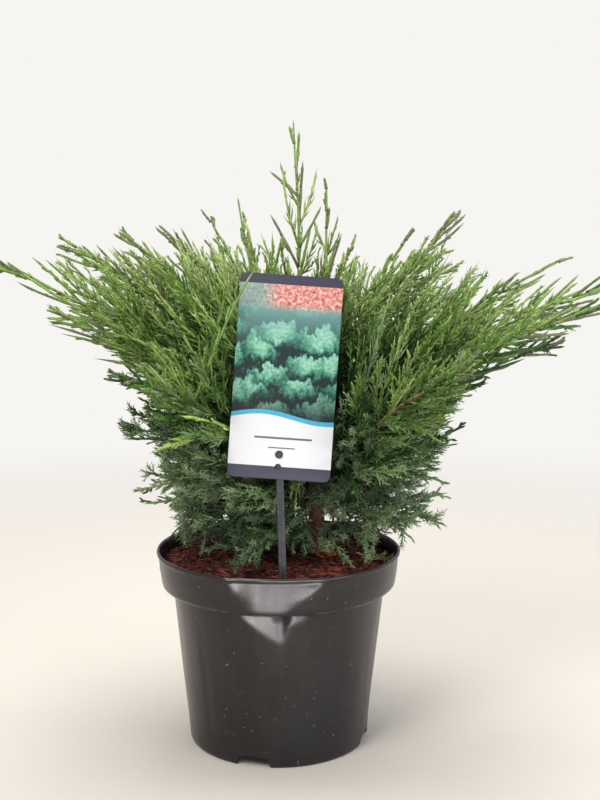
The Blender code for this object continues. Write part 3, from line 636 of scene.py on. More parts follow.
def layDeadSprigs(rng):
    # dead ends of twigs that have dropped beside the trunk and inside the rim
    for name, (place, spread, count, length, steep, colours) in deadSprigs.items():
        root = np.zeros((count, 3))
        root[:, :2] = np.array(place) + rng.normal(0, spread, (count, 2))
        root[:, 2] = soilHeight(math.hypot(*place)) - 0.001
        turn = rng.uniform(0, math.tau, count)
        rise = steep * rng.uniform(0.3, 1.0, count)
        heading = unit(np.stack([np.cos(turn), np.sin(turn), rise], axis=1))
        curl = rng.normal(0, 0.15, (count, 3))
        length = length * rng.uniform(0.6, 1.1, count)
        ones = np.ones(count)
        sprigs = Growth(root, heading, curl, length, ones.astype(int), sideOf(heading), ones, ones, ones)
        twigs = sideGrowth(rng, None, sprigs, deadTwigSet)[0]
        parts = []
        for growth, radius in ((sprigs, 0.00050), (twigs, 0.00040)):
            centres = growth.at(np.linspace(0, 1, 4))
            insideRim(centres, soilSet["chipReach"])
            centres[..., 2] = np.maximum(centres[..., 2], soilSet["top"] - 0.0015)
            parts.append(strandArrays(centres, np.full(centres.shape[:2], radius), 3))
        points, faces = joinArrays(parts)
        pressIn(points)
        mesh = arrayMesh(name, points, faces)
        finishPiece(addPiece(name, mesh, soilMaterial(name, colours, 150, 0.8)), "foliage")


# Label

labelSet = {
    "foot": (0.0045, -0.070, 0.1432), "lean": 8.0, "cardSize": (0.0745, 0.1475), "cardThickness": 0.0007,
    "cardCentre": (0.0017, 0.1465), "cardRoll": 4.0, "corner": 0.005, "peg": (-0.0028, 0.0908),
    "pegRadius": 0.0026, "pegOut": 0.0012, "spareHole": (-0.0036, 0.0818), "spareRadius": 0.0024,
    "stakeWidth": 0.0055, "stakeThickness": 0.0018, "stakeDepth": 0.040, "stakeAbove": 0.006,
    "ribSize": (0.0014, 0.0008, 0.060), "gap": 0.0003,
    # leaves keep out from before the card and the stake
    "clearAround": 0.0015, "clearBehind": 0.0030, "stakeClear": 0.0045,
}
# heights are shares of the card from its foot, and places across it shares from its left
printSet = {
    "card": (0.82, 0.82, 0.84), "panel": (0.70, 0.695, 0.72), "panelTop": 0.315, "waveHeight": 0.022,
    "stripe": (0.055, 0.36, 0.56), "band": (0.040, 0.037, 0.064), "bands": ((0.0, 0.062), (0.952, 1.0)),
    "rule": (0.12, 0.12, 0.14), "rules": ((0.196, 0.206, 0.24, 0.80), (0.150, 0.156, 0.38, 0.64)),
    "haze": (0.16, 0.33, 0.31),
    "bushes": (
        (0.16, (0.004, 0.020, 0.020)), (0.40, (0.022, 0.120, 0.082)), (0.64, (0.095, 0.32, 0.21)),
        (0.94, (0.40, 0.66, 0.50)),
    ),
    "shade": ((0.31, (0.12, 0.13, 0.17)), (0.46, (0.85, 0.90, 0.90)), (0.60, (1, 1, 1))),
    "warm": ((0.36, (0.20, 0.050, 0.045)), (0.50, (0.56, 0.20, 0.165)), (0.66, (0.84, 0.60, 0.54))),
    "cool": ((0.35, (0.12, 0.19, 0.17)), (0.65, (0.34, 0.42, 0.38))),
}


def labelFrame():
    return Matrix.Translation(labelSet["foot"]) @ Matrix.Rotation(-math.radians(labelSet["lean"]), 4, "X")


def cardFrame():
    x, z = labelSet["cardCentre"]
    roll = Matrix.Rotation(math.radians(labelSet["cardRoll"]), 4, "Y")
    return labelFrame() @ Matrix.Translation((x, 0, z)) @ roll


def stakeFrame():
    lean = math.atan2(*labelSet["peg"])
    behind = labelSet["cardThickness"] / 2 + labelSet["gap"] + labelSet["stakeThickness"] / 2
    return labelFrame() @ Matrix.Rotation(lean, 4, "Y") @ Matrix.Translation((0, behind, 0))


def cardMaterial():
    # a plain printed card: slate bands, a field of green bushes, a pale wave and a bare panel
    c = printSet
    material, tree, shader = startMaterial("printedCard", c["card"], 0.50, 0.24)
    uv = addNode(tree, "ShaderNodeUVMap", {}, uv_map="card").outputs["UV"]
    parts = addNode(tree, "ShaderNodeSeparateXYZ", {0: uv})
    across, height = parts.outputs["X"], parts.outputs["Y"]

    def maths(operation, first, second=0.0):
        return addNode(tree, "ShaderNodeMath", {0: first, 1: second}, operation=operation).outputs[0]

    def within(value, low, high):
        return maths("MULTIPLY", maths("GREATER_THAN", value, low), maths("LESS_THAN", value, high))

    # rows of round bushes lit from above, hazier far off, with a leafy grain
    grain = noiseOf(tree, 30.0, 5.0, 0.75, (1.0, 2.0, 1.0), uv)
    ragged = noiseOf(tree, 16.0, 6.0, 0.5, (1.0, 1.0, 1.0), uv, "Color")
    shift = {0: ragged, 1: (0.20, 0.16, 0.0), 2: uv}
    drift = addNode(tree, "ShaderNodeVectorMath", shift, operation="MULTIPLY_ADD").outputs[0]
    rows = addNode(tree, "ShaderNodeMapping", {"Vector": drift, "Scale": (1.0, 2.7, 1.0)}).outputs["Vector"]
    cells = {"Vector": rows, "Scale": 3.1, "Smoothness": 0.30, "Randomness": 1.0}
    bushes = addNode(tree, "ShaderNodeTexVoronoi", cells, voronoi_dimensions="2D", feature="SMOOTH_F1")
    heights = []
    for vector in (rows, bushes.outputs["Position"]):
        heights.append(addNode(tree, "ShaderNodeSeparateXYZ", {0: vector}).outputs["Y"])
    lit = maths("MULTIPLY", maths("SUBTRACT", *heights), 2.6)
    lit = maths("ADD", lit, maths("MULTIPLY", bushes.outputs["Distance"], -0.75))
    lit = maths("ADD", maths("ADD", lit, 0.28), maths("MULTIPLY", grain, 0.95))
    field = rampOf(tree, lit, c["bushes"])
    field = mixColours(tree, 1.0, field, rampOf(tree, height, c["shade"]), "MULTIPLY")
    field = mixColours(tree, rampOf(tree, height, ((0.64, 0), (0.82, 0.72))), field, c["haze"])
    # a warm strip fades in over the field, and the bare panel lies under a shallow wave
    aside = rampOf(tree, across, ((0.22, 0), (0.40, 1)))
    strip = mixColours(tree, aside, rampOf(tree, grain, c["cool"]), rampOf(tree, grain, c["warm"]))
    field = mixColours(tree, rampOf(tree, height, ((0.82, 0), (0.86, 1))), field, strip)
    wave = maths("MULTIPLY", maths("SINE", maths("MULTIPLY", across, 5.2)), c["waveHeight"])
    edge = maths("SUBTRACT", height, maths("ADD", wave, c["panelTop"]))
    ink = mixColours(tree, maths("LESS_THAN", edge, 0.0), field, c["stripe"])
    ink = mixColours(tree, maths("LESS_THAN", edge, -c["waveHeight"]), ink, c["panel"])
    for low, high in c["bands"]:
        ink = mixColours(tree, within(height, low, high), ink, c["band"])
    # two plain rules on the panel
    for low, high, left, right in c["rules"]:
        inRule = maths("MULTIPLY", within(height, low, high), within(across, left, right))
        ink = mixColours(tree, inRule, ink, c["rule"])
    setInputs(tree, shader, {"Base Color": ink})
    return material


def buildLabel():
    s = labelSet
    width, height = s["cardSize"]
    lying = Matrix.Rotation(math.pi / 2, 4, "X")
    shape = boxOf(width, s["cardThickness"], height)
    bevelled(shape, [e for e in shape.edges if depthOf(e) > 1e-6], s["corner"], 8)
    bevelled(shape, [e for e in shape.edges if depthOf(e) < 1e-6], 0.00015, 2)
    flat = shape.loops.layers.uv.new("card")
    for face in shape.faces:
        for loop in face.loops:
            loop[flat].uv = (loop.vert.co.x / width + 0.5, loop.vert.co.z / height + 0.5)
    card = addPiece("labelCard", moved(shape, cardFrame()), cardMaterial(), sharpOver=40)
    holes = []
    for (x, z), radius in ((s["peg"], s["pegRadius"] + s["gap"]), (s["spareHole"], s["spareRadius"])):
        holes.append(moved(pinOf(radius, 0.004), labelFrame() @ Matrix.Translation((x, 0, z)) @ lying))
    cutAway(card, holes)
    finishPiece(card, "card", "label_card")

    plastic = stakeMaterial()
    length = s["stakeDepth"] + s["peg"][1] + s["stakeAbove"]
    stake = boxOf(s["stakeWidth"], s["stakeThickness"], length)
    bevelled(stake, stake.edges[:], 0.0005, 3)
    moved(stake, stakeFrame() @ Matrix.Translation((0, 0, length / 2 - s["stakeDepth"])))
    finishPiece(addPiece("labelStake", stake, plastic, sharpOver=40), "grey_plastic", "label_stem")
    # a raised rib runs up the front of the stake, and the peg pins the card
    rib = boxOf(*s["ribSize"])
    bevelled(rib, rib.edges[:], 0.0003, 2)
    moved(rib, stakeFrame() @ Matrix.Translation((0, -s["stakeThickness"] / 2, s["ribSize"][2] / 2)))
    finishPiece(addPiece("stakeRib", rib, plastic, sharpOver=40), "grey_plastic")
    reach = s["stakeThickness"] / 2 + s["gap"] + s["cardThickness"] + s["pegOut"]
    peg = pinOf(s["pegRadius"], reach)
    bevelled(peg, [e for e in peg.edges if all(v.co.z > 0 for v in e.verts)], 0.0006, 3)
    moved(peg, stakeFrame() @ Matrix.Translation((0, -reach / 2, math.hypot(*s["peg"]))) @ lying)
    finishPiece(addPiece("labelPeg", peg, plastic, sharpOver=40), "grey_plastic")


def stakeMaterial():
    material, tree, shader = startMaterial("greyPlastic", (0.040, 0.041, 0.044), 0.58, 0.28)
    grain = noiseOf(tree, 240, 3)
    colour = rampOf(tree, grain, ((0.3, (0.022, 0.022, 0.024)), (0.7, (0.046, 0.046, 0.049))))
    setInputs(tree, shader, {"Base Color": colour})
    bumpOf(tree, shader, grain, 0.25, 0.0003)
    return material


# Trunk, boughs and the curves that everything grows on

trunkSet = {
    "foot": (0.029, 0.002, 0.1458), "height": 0.139, "lean": (-0.013, 0.002, 0.0), "bow": 0.0035,
    "radius": 0.0072, "topRadius": 0.0042, "flareRadius": 0.0115, "flareHeight": 0.012,
}
boughSet = {
    "radius": 0.0016, "gain": 0.0060, "taper": 0.62, "share": 0.16, "wobble": 0.0022, "step": 0.0022,
    "thinning": 0.72, "stemless": 0.7,
}
# one limb is seen bare between its sprays
bareLimb = {
    "plume": "front_right", "from": 0.50, "to": 0.68, "room": 0.0044, "reach": 0.68, "thinning": 0.30
}
barkSet = {
    "sides": 24, "step": 0.0011, "relief": 0.00055, "boughRelief": 0.0004,
    "colours": ((0.060, 0.026, 0.014), (0.165, 0.072, 0.034), (0.350, 0.180, 0.095)),
    "boughColours": ((0.150, 0.075, 0.040), (0.420, 0.275, 0.150), (0.620, 0.500, 0.320)),
}
axisPoints = 72
goldenTurn = math.radians(137.508)

# name, start on the trunk, heading, reach, height over the soil, arch, bend, fullness, on a bough,
# and share of young needled shoots
plumes = (
    ("leader", 1.00, 150, 0.020, 0.331, 0.02, 0.00, 0.05, True, 0.00),
    ("centre_left", 0.91, 156, 0.066, 0.274, -0.10, 0.00, 0.15, True, 0.00),
    ("centre_right", 0.95, 50, 0.012, 0.281, -0.14, 0.00, 0.05, False, 0.00),
    ("centre_back", 0.87, 62, 0.064, 0.238, 0.04, 0.00, 0.30, False, 0.10),
    ("inner_left", 0.80, 142, 0.108, 0.257, 0.06, 0.02, 0.40, True, 0.10),
    ("top_left", 0.71, 168, 0.122, 0.251, 0.06, -0.04, 0.55, True, 0.10),
    ("high_left", 0.65, 190, 0.150, 0.252, 0.06, -0.06, 0.65, True, 0.10),
    ("upper_left", 0.59, 165, 0.206, 0.240, 0.08, 0.00, 0.60, True, 0.10),
    ("far_left", 0.52, 180, 0.268, 0.232, 0.10, 0.00, 0.50, True, 0.10),
    ("mid_left", 0.45, 191, 0.190, 0.186, 0.10, -0.02, 0.60, True, 0.10),
    ("low_left", 0.30, 184, 0.152, 0.100, 0.12, 0.00, 0.90, True, 0.75),
    ("front_left", 0.39, 222, 0.178, 0.152, 0.10, -0.17, 0.60, True, 0.25),
    ("low_front_left", 0.23, 208, 0.150, 0.072, 0.14, -0.10, 0.90, True, 0.85),
    ("foot_left", 0.13, 188, 0.132, 0.036, 0.20, 0.02, 1.00, False, 0.95),
    ("foot_front", 0.17, 232, 0.084, 0.012, 0.24, 0.00, 0.90, False, 0.90),
    ("top_right", 0.83, 344, 0.070, 0.243, 0.05, 0.04, 0.50, True, 0.15),
    ("upper_right", 0.76, 14, 0.114, 0.262, 0.06, 0.00, 0.70, True, 0.15),
    ("high_right", 0.64, 20, 0.215, 0.224, 0.09, 0.00, 0.44, True, 0.10),
    ("far_right", 0.56, 1, 0.232, 0.210, 0.10, 0.00, 0.42, True, 0.10),
    ("front_far_right", 0.48, 342, 0.205, 0.192, 0.10, 0.02, 0.44, True, 0.10),
    ("mid_right", 0.37, 6, 0.185, 0.160, 0.10, 0.00, 0.70, True, 0.20),
    ("front_right", 0.42, 306, 0.168, 0.160, 0.10, 0.14, 0.65, True, 0.25),
    ("low_right", 0.26, 352, 0.120, 0.090, 0.12, 0.02, 0.95, True, 0.60),
    ("foot_right", 0.12, 336, 0.099, 0.034, 0.18, 0.00, 1.00, False, 0.95),
    ("back_left", 0.70, 122, 0.196, 0.218, 0.08, 0.00, 0.60, True, 0.15),
    ("back", 0.61, 90, 0.188, 0.205, 0.09, 0.00, 0.60, True, 0.20),
    ("back_right", 0.50, 52, 0.192, 0.190, 0.09, 0.00, 0.60, True, 0.20),
    ("low_back_left", 0.31, 142, 0.165, 0.110, 0.12, 0.00, 0.80, True, 0.60),
    ("low_back", 0.22, 98, 0.150, 0.080, 0.14, 0.00, 0.85, True, 0.80),
    ("low_back_right", 0.34, 44, 0.160, 0.105, 0.12, 0.00, 0.85, True, 0.70),
)


def trunkPoint(share):
    t = trunkSet
    bow = Vector((t["bow"] * math.sin(math.pi * share), 0, 0))
    return Vector(t["foot"]) + Vector(t["lean"]) * share**1.3 + bow + up * t["height"] * share


def trunkRadius(share):
    t = trunkSet
    taper = t["radius"] + (t["topRadius"] - t["radius"]) * share
    flare = max(0.0, 1 - share * t["height"] / t["flareHeight"])
    return taper + (t["flareRadius"] - t["radius"]) * flare**2


def evenSteps(points, count):
    runs = np.concatenate([[0.0], np.cumsum([(b - a).length for a, b in zip(points, points[1:])])])
    wanted = np.linspace(0, runs[-1], count + 1)
    flat = np.array(points)
    return np.stack([np.interp(wanted, runs, flat[:, i]) for i in range(3)], axis=1)


def plumeAxis(plume, seed):
    start, heading, reach, height, arch, bend = plume[1:7]
    root = trunkPoint(start)
    heading = math.radians(heading)
    outward = Vector((math.cos(heading), math.sin(heading), 0))
    aside = Vector((-outward.y, outward.x, 0))
    foot = Vector((*trunkSet["foot"][:2], soilSet["top"]))
    tip = foot + outward * reach + up * height
    chord = (tip - root).length
    rise = (tip - root).cross(aside).normalized()
    middle = (root + tip) / 2 + (rise * arch + aside * bend) * chord
    phase = random.Random(seed).uniform(0, math.tau)
    fine = []
    for step in range(4 * axisPoints + 1):
        share = step / (4 * axisPoints)
        point = root * (1 - share) ** 2 + middle * 2 * share * (1 - share) + tip * share**2
        sway = boughSet["wobble"] * math.sin(math.pi * share) ** 2
        turn = math.tau * 1.4 * share + phase
        fine.append(point + aside * sway * math.sin(turn) + up * sway * math.cos(turn))
    return evenSteps(fine, axisPoints)


def lengthOf(axis):
    return float(np.linalg.norm(np.diff(axis, axis=0), axis=1).sum())


def along(axis, shares):
    # points and directions at shares of an axis, as arrays
    place = np.clip(np.asarray(shares, float), 0, 1) * (len(axis) - 1)
    index = np.minimum(place.astype(int), len(axis) - 2)
    part = (place - index)[..., None]
    runs = axis[index + 1] - axis[index]
    return axis[index] + runs * part, runs / np.linalg.norm(runs, axis=-1, keepdims=True)


def limbMesh(name, points, radii, sides, relief, seed):
    # a bevelled curve made a mesh, with its bark raised in flakes and long ridges
    curve = bpy.data.curves.new(name, "CURVE")
    curve.dimensions = "3D"
    curve.bevel_depth = 1.0
    curve.bevel_resolution = sides // 2 - 2
    curve.use_fill_caps = True
    spline = curve.splines.new("POLY")
    spline.points.add(len(points) - 1)
    for point, place, radius in zip(spline.points, points, radii):
        point.co = (*place, 1)
        point.radius = radius
    guide = addObject(name, curve)
    graph = bpy.context.evaluated_depsgraph_get()
    mesh = bpy.data.meshes.new_from_object(guide.evaluated_get(graph))
    bpy.data.objects.remove(guide)
    shape = bmesh.new()
    shape.from_mesh(mesh)
    bmesh.ops.remove_doubles(shape, verts=shape.verts, dist=1e-6)
    bmesh.ops.recalc_face_normals(shape, faces=shape.faces)
    shape.normal_update()
    for vertex in shape.verts:
        spot = vertex.co + Vector((seed, 0, 0))
        ridge = noise.noise(Vector((spot.x * 520, spot.y * 520, spot.z * 105)))
        flake = noise.noise(spot * 300)
        vertex.co += vertex.normal * relief * (ridge * 0.9 + flake * 0.6 - 0.45)
    return shape


def barkMaterial(name, colours):
    dark, middle, light = colours
    material, tree, shader = startMaterial(name, middle, 0.85, 0.2)
    flakes = noiseOf(tree, 170, 6, 0.65, (1.0, 1.0, 0.32))
    colour = rampOf(tree, flakes, ((0.32, dark), (0.50, middle), (0.70, light)))
    setInputs(tree, shader, {"Base Color": colour})
    bumpOf(tree, shader, flakes, 0.7, 0.0005)
    return material


def buildLimbs(axes):
    count = round(trunkSet["height"] / barkSet["step"])
    shares = [i / count for i in range(count + 1)]
    points = [trunkPoint(share) for share in shares]
    points[1].x, points[1].y = points[0].x, points[0].y
    radii = [trunkRadius(share) * 0.985 for share in shares]
    shape = limbMesh("barkTrunk", points, radii, barkSet["sides"], barkSet["relief"], 0.0)
    finishPiece(addPiece("barkTrunk", shape, barkMaterial("bark", barkSet["colours"])), "bark", "trunk")

    b = boughSet
    joined = bmesh.new()
    for seed, (plume, axis) in enumerate(zip(plumes, axes)):
        bare = plume[0] == bareLimb["plume"]
        length = lengthOf(axis)
        base = b["radius"] + b["gain"] * length
        if not plume[8]:
            base *= b["stemless"]
        # past its share the limb goes on inside its own foliage, ever thinner
        reach = bareLimb["reach"] if bare else 0.50 - 0.15 * plume[9]
        shares = np.linspace(0, reach, round(length * reach / b["step"]))
        points = along(axis, shares)[0]
        taper = 1 - (1 - b["taper"]) * np.minimum(1, shares / b["share"])
        thinning = bareLimb["thinning"] if bare else b["thinning"]
        fade = 1 - thinning * np.clip((shares - b["share"]) / (reach - b["share"]), 0, 1)
        relief = min(barkSet["boughRelief"], 0.16 * base)
        limb = limbMesh("limb", points, base * taper * fade * 0.97, 10, relief, seed * 1.0)
        mesh = meshOf("limb", limb)
        joined.from_mesh(mesh)
        bpy.data.meshes.remove(mesh)
    boughs = addPiece("barkBoughs", joined, barkMaterial("youngBark", barkSet["boughColours"]))
    finishPiece(boughs, "bark", *(f"bough_{plume[0]}" for plume in plumes if plume[8]))
    print("trunk and boughs have their bark")


# Foliage

foliageSet = {
    "seed": 41, "stemStep": 0.0036, "begin": 0.05, "stemEnd": 0.985, "shootShare": (0.58, 0.125),
    "shootAngle": (54.0, 14.0), "shootCurl": 0.36, "lift": 0.15, "liftSpread": 0.08, "whipLength": 0.62,
    "whipThins": 2.6, "whipBranches": 0.35, "youngThickens": 0.35, "shortest": 0.008,
    "sizes": (1.0, 0.87, 0.75, 0.65, 0.55, 0.46, 0.38, 0.30), "margin": -0.017, "branchMargin": -0.024,
    "needleStep": 0.0017, "needleLength": (0.0028, 0.0052), "needleAngle": 58.0, "lowest": 0.1485,
    "trunkClear": 0.0098, "stemPoints": 28, "stemFrom": 0.45, "stemRadius": 0.00125,
    "shootRadius": (0.00100, 0.00066), "branchRadius": (0.00078, 0.00056), "twigRadius": 0.00070,
    "needleRadius": 0.00046, "tipShort": 0.60, "tipBare": 0.50, "tipThick": 1.50, "edgeDepth": 0.022,
    # how far growth reaches out of the crown, and its spread, for a high or another plume's end, for
    # what grows on such ends, and for strays
    "reachOut": 0.004, "reachSpread": 0.014, "twigOut": 0.003, "highPlume": 0.19, "endRise": 0.84,
    "highEndOut": 0.0055, "endOut": 0.0352, "onEndOut": 0.044, "strayOut": 0.100, "forkedUnder": 0.285,
    "mostTriangles": 186000,
}
# side growth: one to each step, its length as a share of its parent's and the limits of it, its angle,
# roll and curl, the span of the parent that bears it, the least number, and how close it lies at the ends
branchSet = {
    "step": 0.0084, "share": 0.54, "length": (0.012, 0.064), "angle": 27.0, "roll": 0.70, "curl": 0.30,
    "span": (0.07, 0.90), "least": 2, "close": 0.14,
}
twigSet = {
    "step": 0.0050, "share": 0.42, "length": (0.0055, 0.0180), "angle": 28.0, "roll": 0.85, "curl": 0.22,
    "span": (0.06, 0.88), "least": 3, "close": 0.42,
}
youngTwigSet = {**twigSet, "step": 0.0058, "length": (0.0070, 0.0160)}
deadTwigSet = {
    **branchSet, "step": 0.0020, "share": 0.45, "length": (0.0018, 0.0050), "angle": 36.0, "curl": 0.2,
}
# growth that may stand out of the crown has a mark: a plume's end, a stray, an olive or a fresh green one
marks = {"end": 0.2, "stray": 0.3, "olive": 0.45, "fresh": 1.0}
# shoots that stand out of the rest: plume, place on it, tip in millimetres, and how far it arches, how
# young it is and its mark, where these aren't 0; a row of three is one of the young strays, arched alike
youngStray = (0.14, 1.0, 0.0)
strays = (
    ("leader", 0.70, (-6, 0, 437), 0.02), ("leader", 0.60, (19, 12, 446), -0.02),
    ("leader", 0.50, (33, 0, 412), -0.04), ("leader", 0.42, (-6, -4, 406), 0.03),
    ("leader", 0.36, (25, 6, 397), -0.03), ("centre_right", 0.50, (49, 18, 392), -0.05),
    ("centre_left", 0.55, (-24, 20, 397), 0.04), ("centre_left", 0.45, (4, 12, 392), -0.04),
    ("front_left", 0.30, (-66, -100, 268), 0.06, 0.0, 1.0),
    ("front_left", 0.32, (-87, -100, 242), 0.10, 0.0, 1.0),
    ("front_left", 0.31, (-73, -100, 251), 0.08, 0.0, 1.0),
    ("front_left", 0.08, (13, -58, 190), 0.18, 0.2, 0.45),
    ("front_left", 0.10, (10, -56, 199), 0.15, 0.2, 0.45), ("foot_right", 0.42, (65, -50, 153), 0.22, 1.0),
    ("foot_right", 0.50, (71, -48, 154), 0.20, 1.0), ("foot_front", 0.30, (10, -36, 156), 0.10, 1.0),
    ("foot_front", 0.22, (19, -30, 156), 0.12, 1.0), ("low_right", 0.20, (27, -30, 195), 0.15, 1.0),
    ("low_right", 0.24, (35, -32, 190), 0.15, 1.0), ("foot_right", 0.12, (32, -26, 158)),
    ("low_front_left", 0.30, (-19, -40, 181), 0.12, 1.0),
    ("low_front_left", 0.34, (-30, -45, 168), 0.16, 1.0), ("foot_left", 0.45, (-34, -30, 162), 0.12, 1.0),
    ("foot_left", 0.60, (-55, -30, 160)), ("foot_left", 0.75, (-72, -25, 161), 0.12, 1.0),
    ("foot_left", 0.55, (-80, -4, 157)), ("foot_right", 0.80, (91, -35, 166), 0.10, 1.0),
    ("mid_left", 0.42, (-173, -10, 324), 0.07), ("mid_left", 0.38, (-164, -10, 317), 0.09),
    ("mid_left", 0.36, (-137, -20, 299), 0.10), ("low_left", 0.50, (-118, -20, 238), 0.10, 0.3),
    ("low_left", 0.45, (-116, -20, 261), 0.06, 0.3), ("low_front_left", 0.60, (-109, -30, 199), 0.06, 0.3),
    ("foot_left", 0.60, (-103, -20, 188), 0.06, 0.3), ("mid_right", 0.55, (174, 10, 290), 0.06),
    ("mid_right", 0.45, (161, 0, 278), 0.08), ("low_right", 0.70, (143, -10, 247), 0.08),
    ("low_right", 0.45, (128, -20, 204), 0.08), ("foot_right", 0.60, (129, -20, 197), 0.06, 0.3),
    ("foot_right", 0.60, (114, -30, 181), 0.06, 0.3), ("foot_right", 0.50, (98, -30, 167), 0.08, 0.3),
    ("foot_left", 0.50, (-76, 12, 156)), ("foot_left", 0.45, (-68, 24, 156)),
    ("foot_left", 0.62, (-84, -18, 160), 0.12, 1.0), ("low_right", 0.40, (62, -72, 256), 0.10, 0.8),
    ("low_right", 0.32, (52, -70, 244), 0.10, 0.8), ("low_back", 0.20, (4, 50, 196)),
    ("low_back", 0.26, (20, 62, 186)), ("low_back", 0.30, (34, 66, 206)), ("low_back", 0.24, (12, 58, 172)),
    ("low_back", 0.34, (44, 70, 190)), ("low_back_right", 0.16, (58, 40, 182)),
    ("low_back_right", 0.20, (50, 52, 172)), ("low_back_left", 0.16, (-4, 40, 178)),
    ("low_back", 0.16, (26, 48, 168)), ("low_back_left", 0.22, (-14, 46, 192)),
    ("low_back", 0.16, (21, 50, 171)), ("low_back", 0.22, (32, 60, 173)), ("low_back", 0.18, (41, 55, 176)),
    ("low_back_right", 0.12, (45, 50, 171)), ("low_back_left", 0.14, (7, 50, 176)),
    ("low_back_right", 0.16, (51, 50, 169)), ("low_right", 0.16, (33, -45, 200)),
    ("low_right", 0.22, (40, -45, 203)), ("low_right", 0.26, (46, -40, 198)),
    ("foot_right", 0.20, (35, -38, 188)), ("foot_right", 0.30, (43, -40, 187)),
    ("low_right", 0.10, (29, -35, 192)), ("low_back", 0.40, (17, 85, 165)),
    ("low_back", 0.36, (26, 85, 161)), ("low_back", 0.42, (35, 85, 166)),
    ("low_back_right", 0.36, (41, 90, 160)), ("low_back_right", 0.34, (47, 80, 168)),
    ("low_back_right", 0.38, (53, 80, 161)), ("front_left", 0.62, (-15, -50, 367), 0.12),
    ("front_left", 0.58, (-36, -52, 350), 0.08), ("low_right", 0.46, (72, -66, 236), 0.10, 0.6),
    ("low_right", 0.36, (56, -64, 228), 0.10, 0.8),
)
# base colours, dealt out by spray; the painted shade, painted half shade, leaf and painted light greens are
# one green under more and more painted light, and the shade and grey greens are the young growth in painted
# shade and out of it
greens = {
    "paintedLightGreen": (0.280, 0.368, 0.126), "leafGreen": (0.170, 0.288, 0.058),
    "paintedHalfShadeGreen": (0.080, 0.168, 0.026), "paintedShadeGreen": (0.026, 0.068, 0.011),
    "oliveGreen": (0.182, 0.258, 0.066), "coolGreen": (0.144, 0.252, 0.092),
    "greyGreen": (0.204, 0.286, 0.138), "shadeGreen": (0.080, 0.136, 0.060),
    "freshGreen": (0.340, 0.480, 0.120), "ripeTip": (0.152, 0.172, 0.082), "dryTan": (0.190, 0.115, 0.052),
}
greenCode = {name: index for index, name in enumerate(greens)}
# the painted light that picks a spray's green: weights, then where a change starts and the run in which it is
# complete
paintedLightSet = {
    "outer": 0.95, "height": 0.58, "clump": 0.42, "spread": 0.06, "grown": 0.10, "less": 0.17,
    "farRight": 0.14, "lowRight": 0.20, "heightRun": (0.290, 0.13), "farRightRun": (0.10, 0.08),
    "rightRun": (0.03, 0.04), "lowRun": (0.285, -0.03), "clumpScale": 26, "streakScale": 60,
}
# the least painted light for each green, and heights and chances of the others
dealSet = {
    "paintedHalfShadeGreen": 0.28, "leafGreen": 0.46, "paintedLightGreen": 0.74, "cool": 0.17, "coolRun": (0.262, 0.04),
    "olive": 0.38, "oliveStreak": 0.22, "oliveAged": 0.55, "agedRun": (0.82, 0.14), "ripeOver": 0.385,
    "ripeHigh": 0.75, "ripeLow": 0.32, "youngGrey": 1.15, "grey": 0.04, "dryLength": 0.03, "dry": 0.006,
}
# seen from the front: distance from the trunk, and the lowest and highest leaf there
crownEdge = {
    "left": (
        (0.045, 0.148, 0.480), (0.060, 0.148, 0.394), (0.085, 0.148, 0.402), (0.108, 0.150, 0.396),
        (0.114, 0.186, 0.394), (0.118, 0.204, 0.392), (0.130, 0.240, 0.388), (0.136, 0.260, 0.384),
        (0.150, 0.288, 0.393), (0.168, 0.306, 0.389), (0.187, 0.336, 0.386), (0.212, 0.353, 0.381),
        (0.246, 0.366, 0.371),
    ),
    "right": (
        (0.022, 0.148, 0.480), (0.032, 0.148, 0.383), (0.048, 0.148, 0.371), (0.066, 0.152, 0.388),
        (0.080, 0.170, 0.391), (0.088, 0.180, 0.393), (0.093, 0.192, 0.397), (0.100, 0.215, 0.402),
        (0.106, 0.250, 0.408), (0.110, 0.266, 0.406), (0.119, 0.278, 0.391), (0.134, 0.289, 0.367),
        (0.150, 0.298, 0.360), (0.181, 0.306, 0.367), (0.197, 0.312, 0.371), (0.218, 0.320, 0.354),
        (0.246, 0.328, 0.346),
    ),
}
crownRipple = 0.005
boxMargin = 0.0008


def unit(vectors):
    return vectors / np.maximum(np.linalg.norm(vectors, axis=-1, keepdims=True), 1e-12)


def sideOf(directions):
    # a vector across each direction, level wherever it can be
    level = np.where(np.abs(directions[..., 2:]) < 0.95, np.array([0.0, 0.0, 1.0]), np.array([1.0, 0.0, 0.0]))
    return unit(np.cross(directions, level))


def strandArrays(centres, radii, sides):
    # closed strands from (strand, place, xyz): a ring at each place but the last, which is the tip
    count, places = centres.shape[:2]
    rings = places - 1
    runs = unit(np.gradient(centres, axis=1))[:, :rings]
    first = sideOf(unit(centres[:, -1] - centres[:, 0]))[:, None]
    across = unit(first - runs * (first * runs).sum(-1, keepdims=True))
    other = np.cross(runs, across)
    angles = np.arange(sides) * math.tau / sides
    spokes = across[:, :, None] * np.cos(angles)[:, None] + other[:, :, None] * np.sin(angles)[:, None]
    skin = centres[:, :rings, None] + spokes * radii[:, :rings, None, None]
    points = np.concatenate([skin.reshape(count, -1, 3), centres[:, -1:]], axis=1)
    faces = []
    for ring in range(rings - 1):
        for side in range(sides):
            a, b = ring * sides + side, ring * sides + (side + 1) % sides
            faces += [(a, b, b + sides), (a, b + sides, a + sides)]
    last = (rings - 1) * sides
    faces += [(last + side, last + (side + 1) % sides, rings * sides) for side in range(sides)]
    faces += [(0, side + 1, side) for side in range(1, sides - 1)]
    every = np.array(faces)[None] + points.shape[1] * np.arange(count)[:, None, None]
    return points.reshape(-1, 3), every.reshape(-1, 3)


growthParts = ("root", "direction", "curl", "length", "plume", "normal", "outer", "young", "mark")


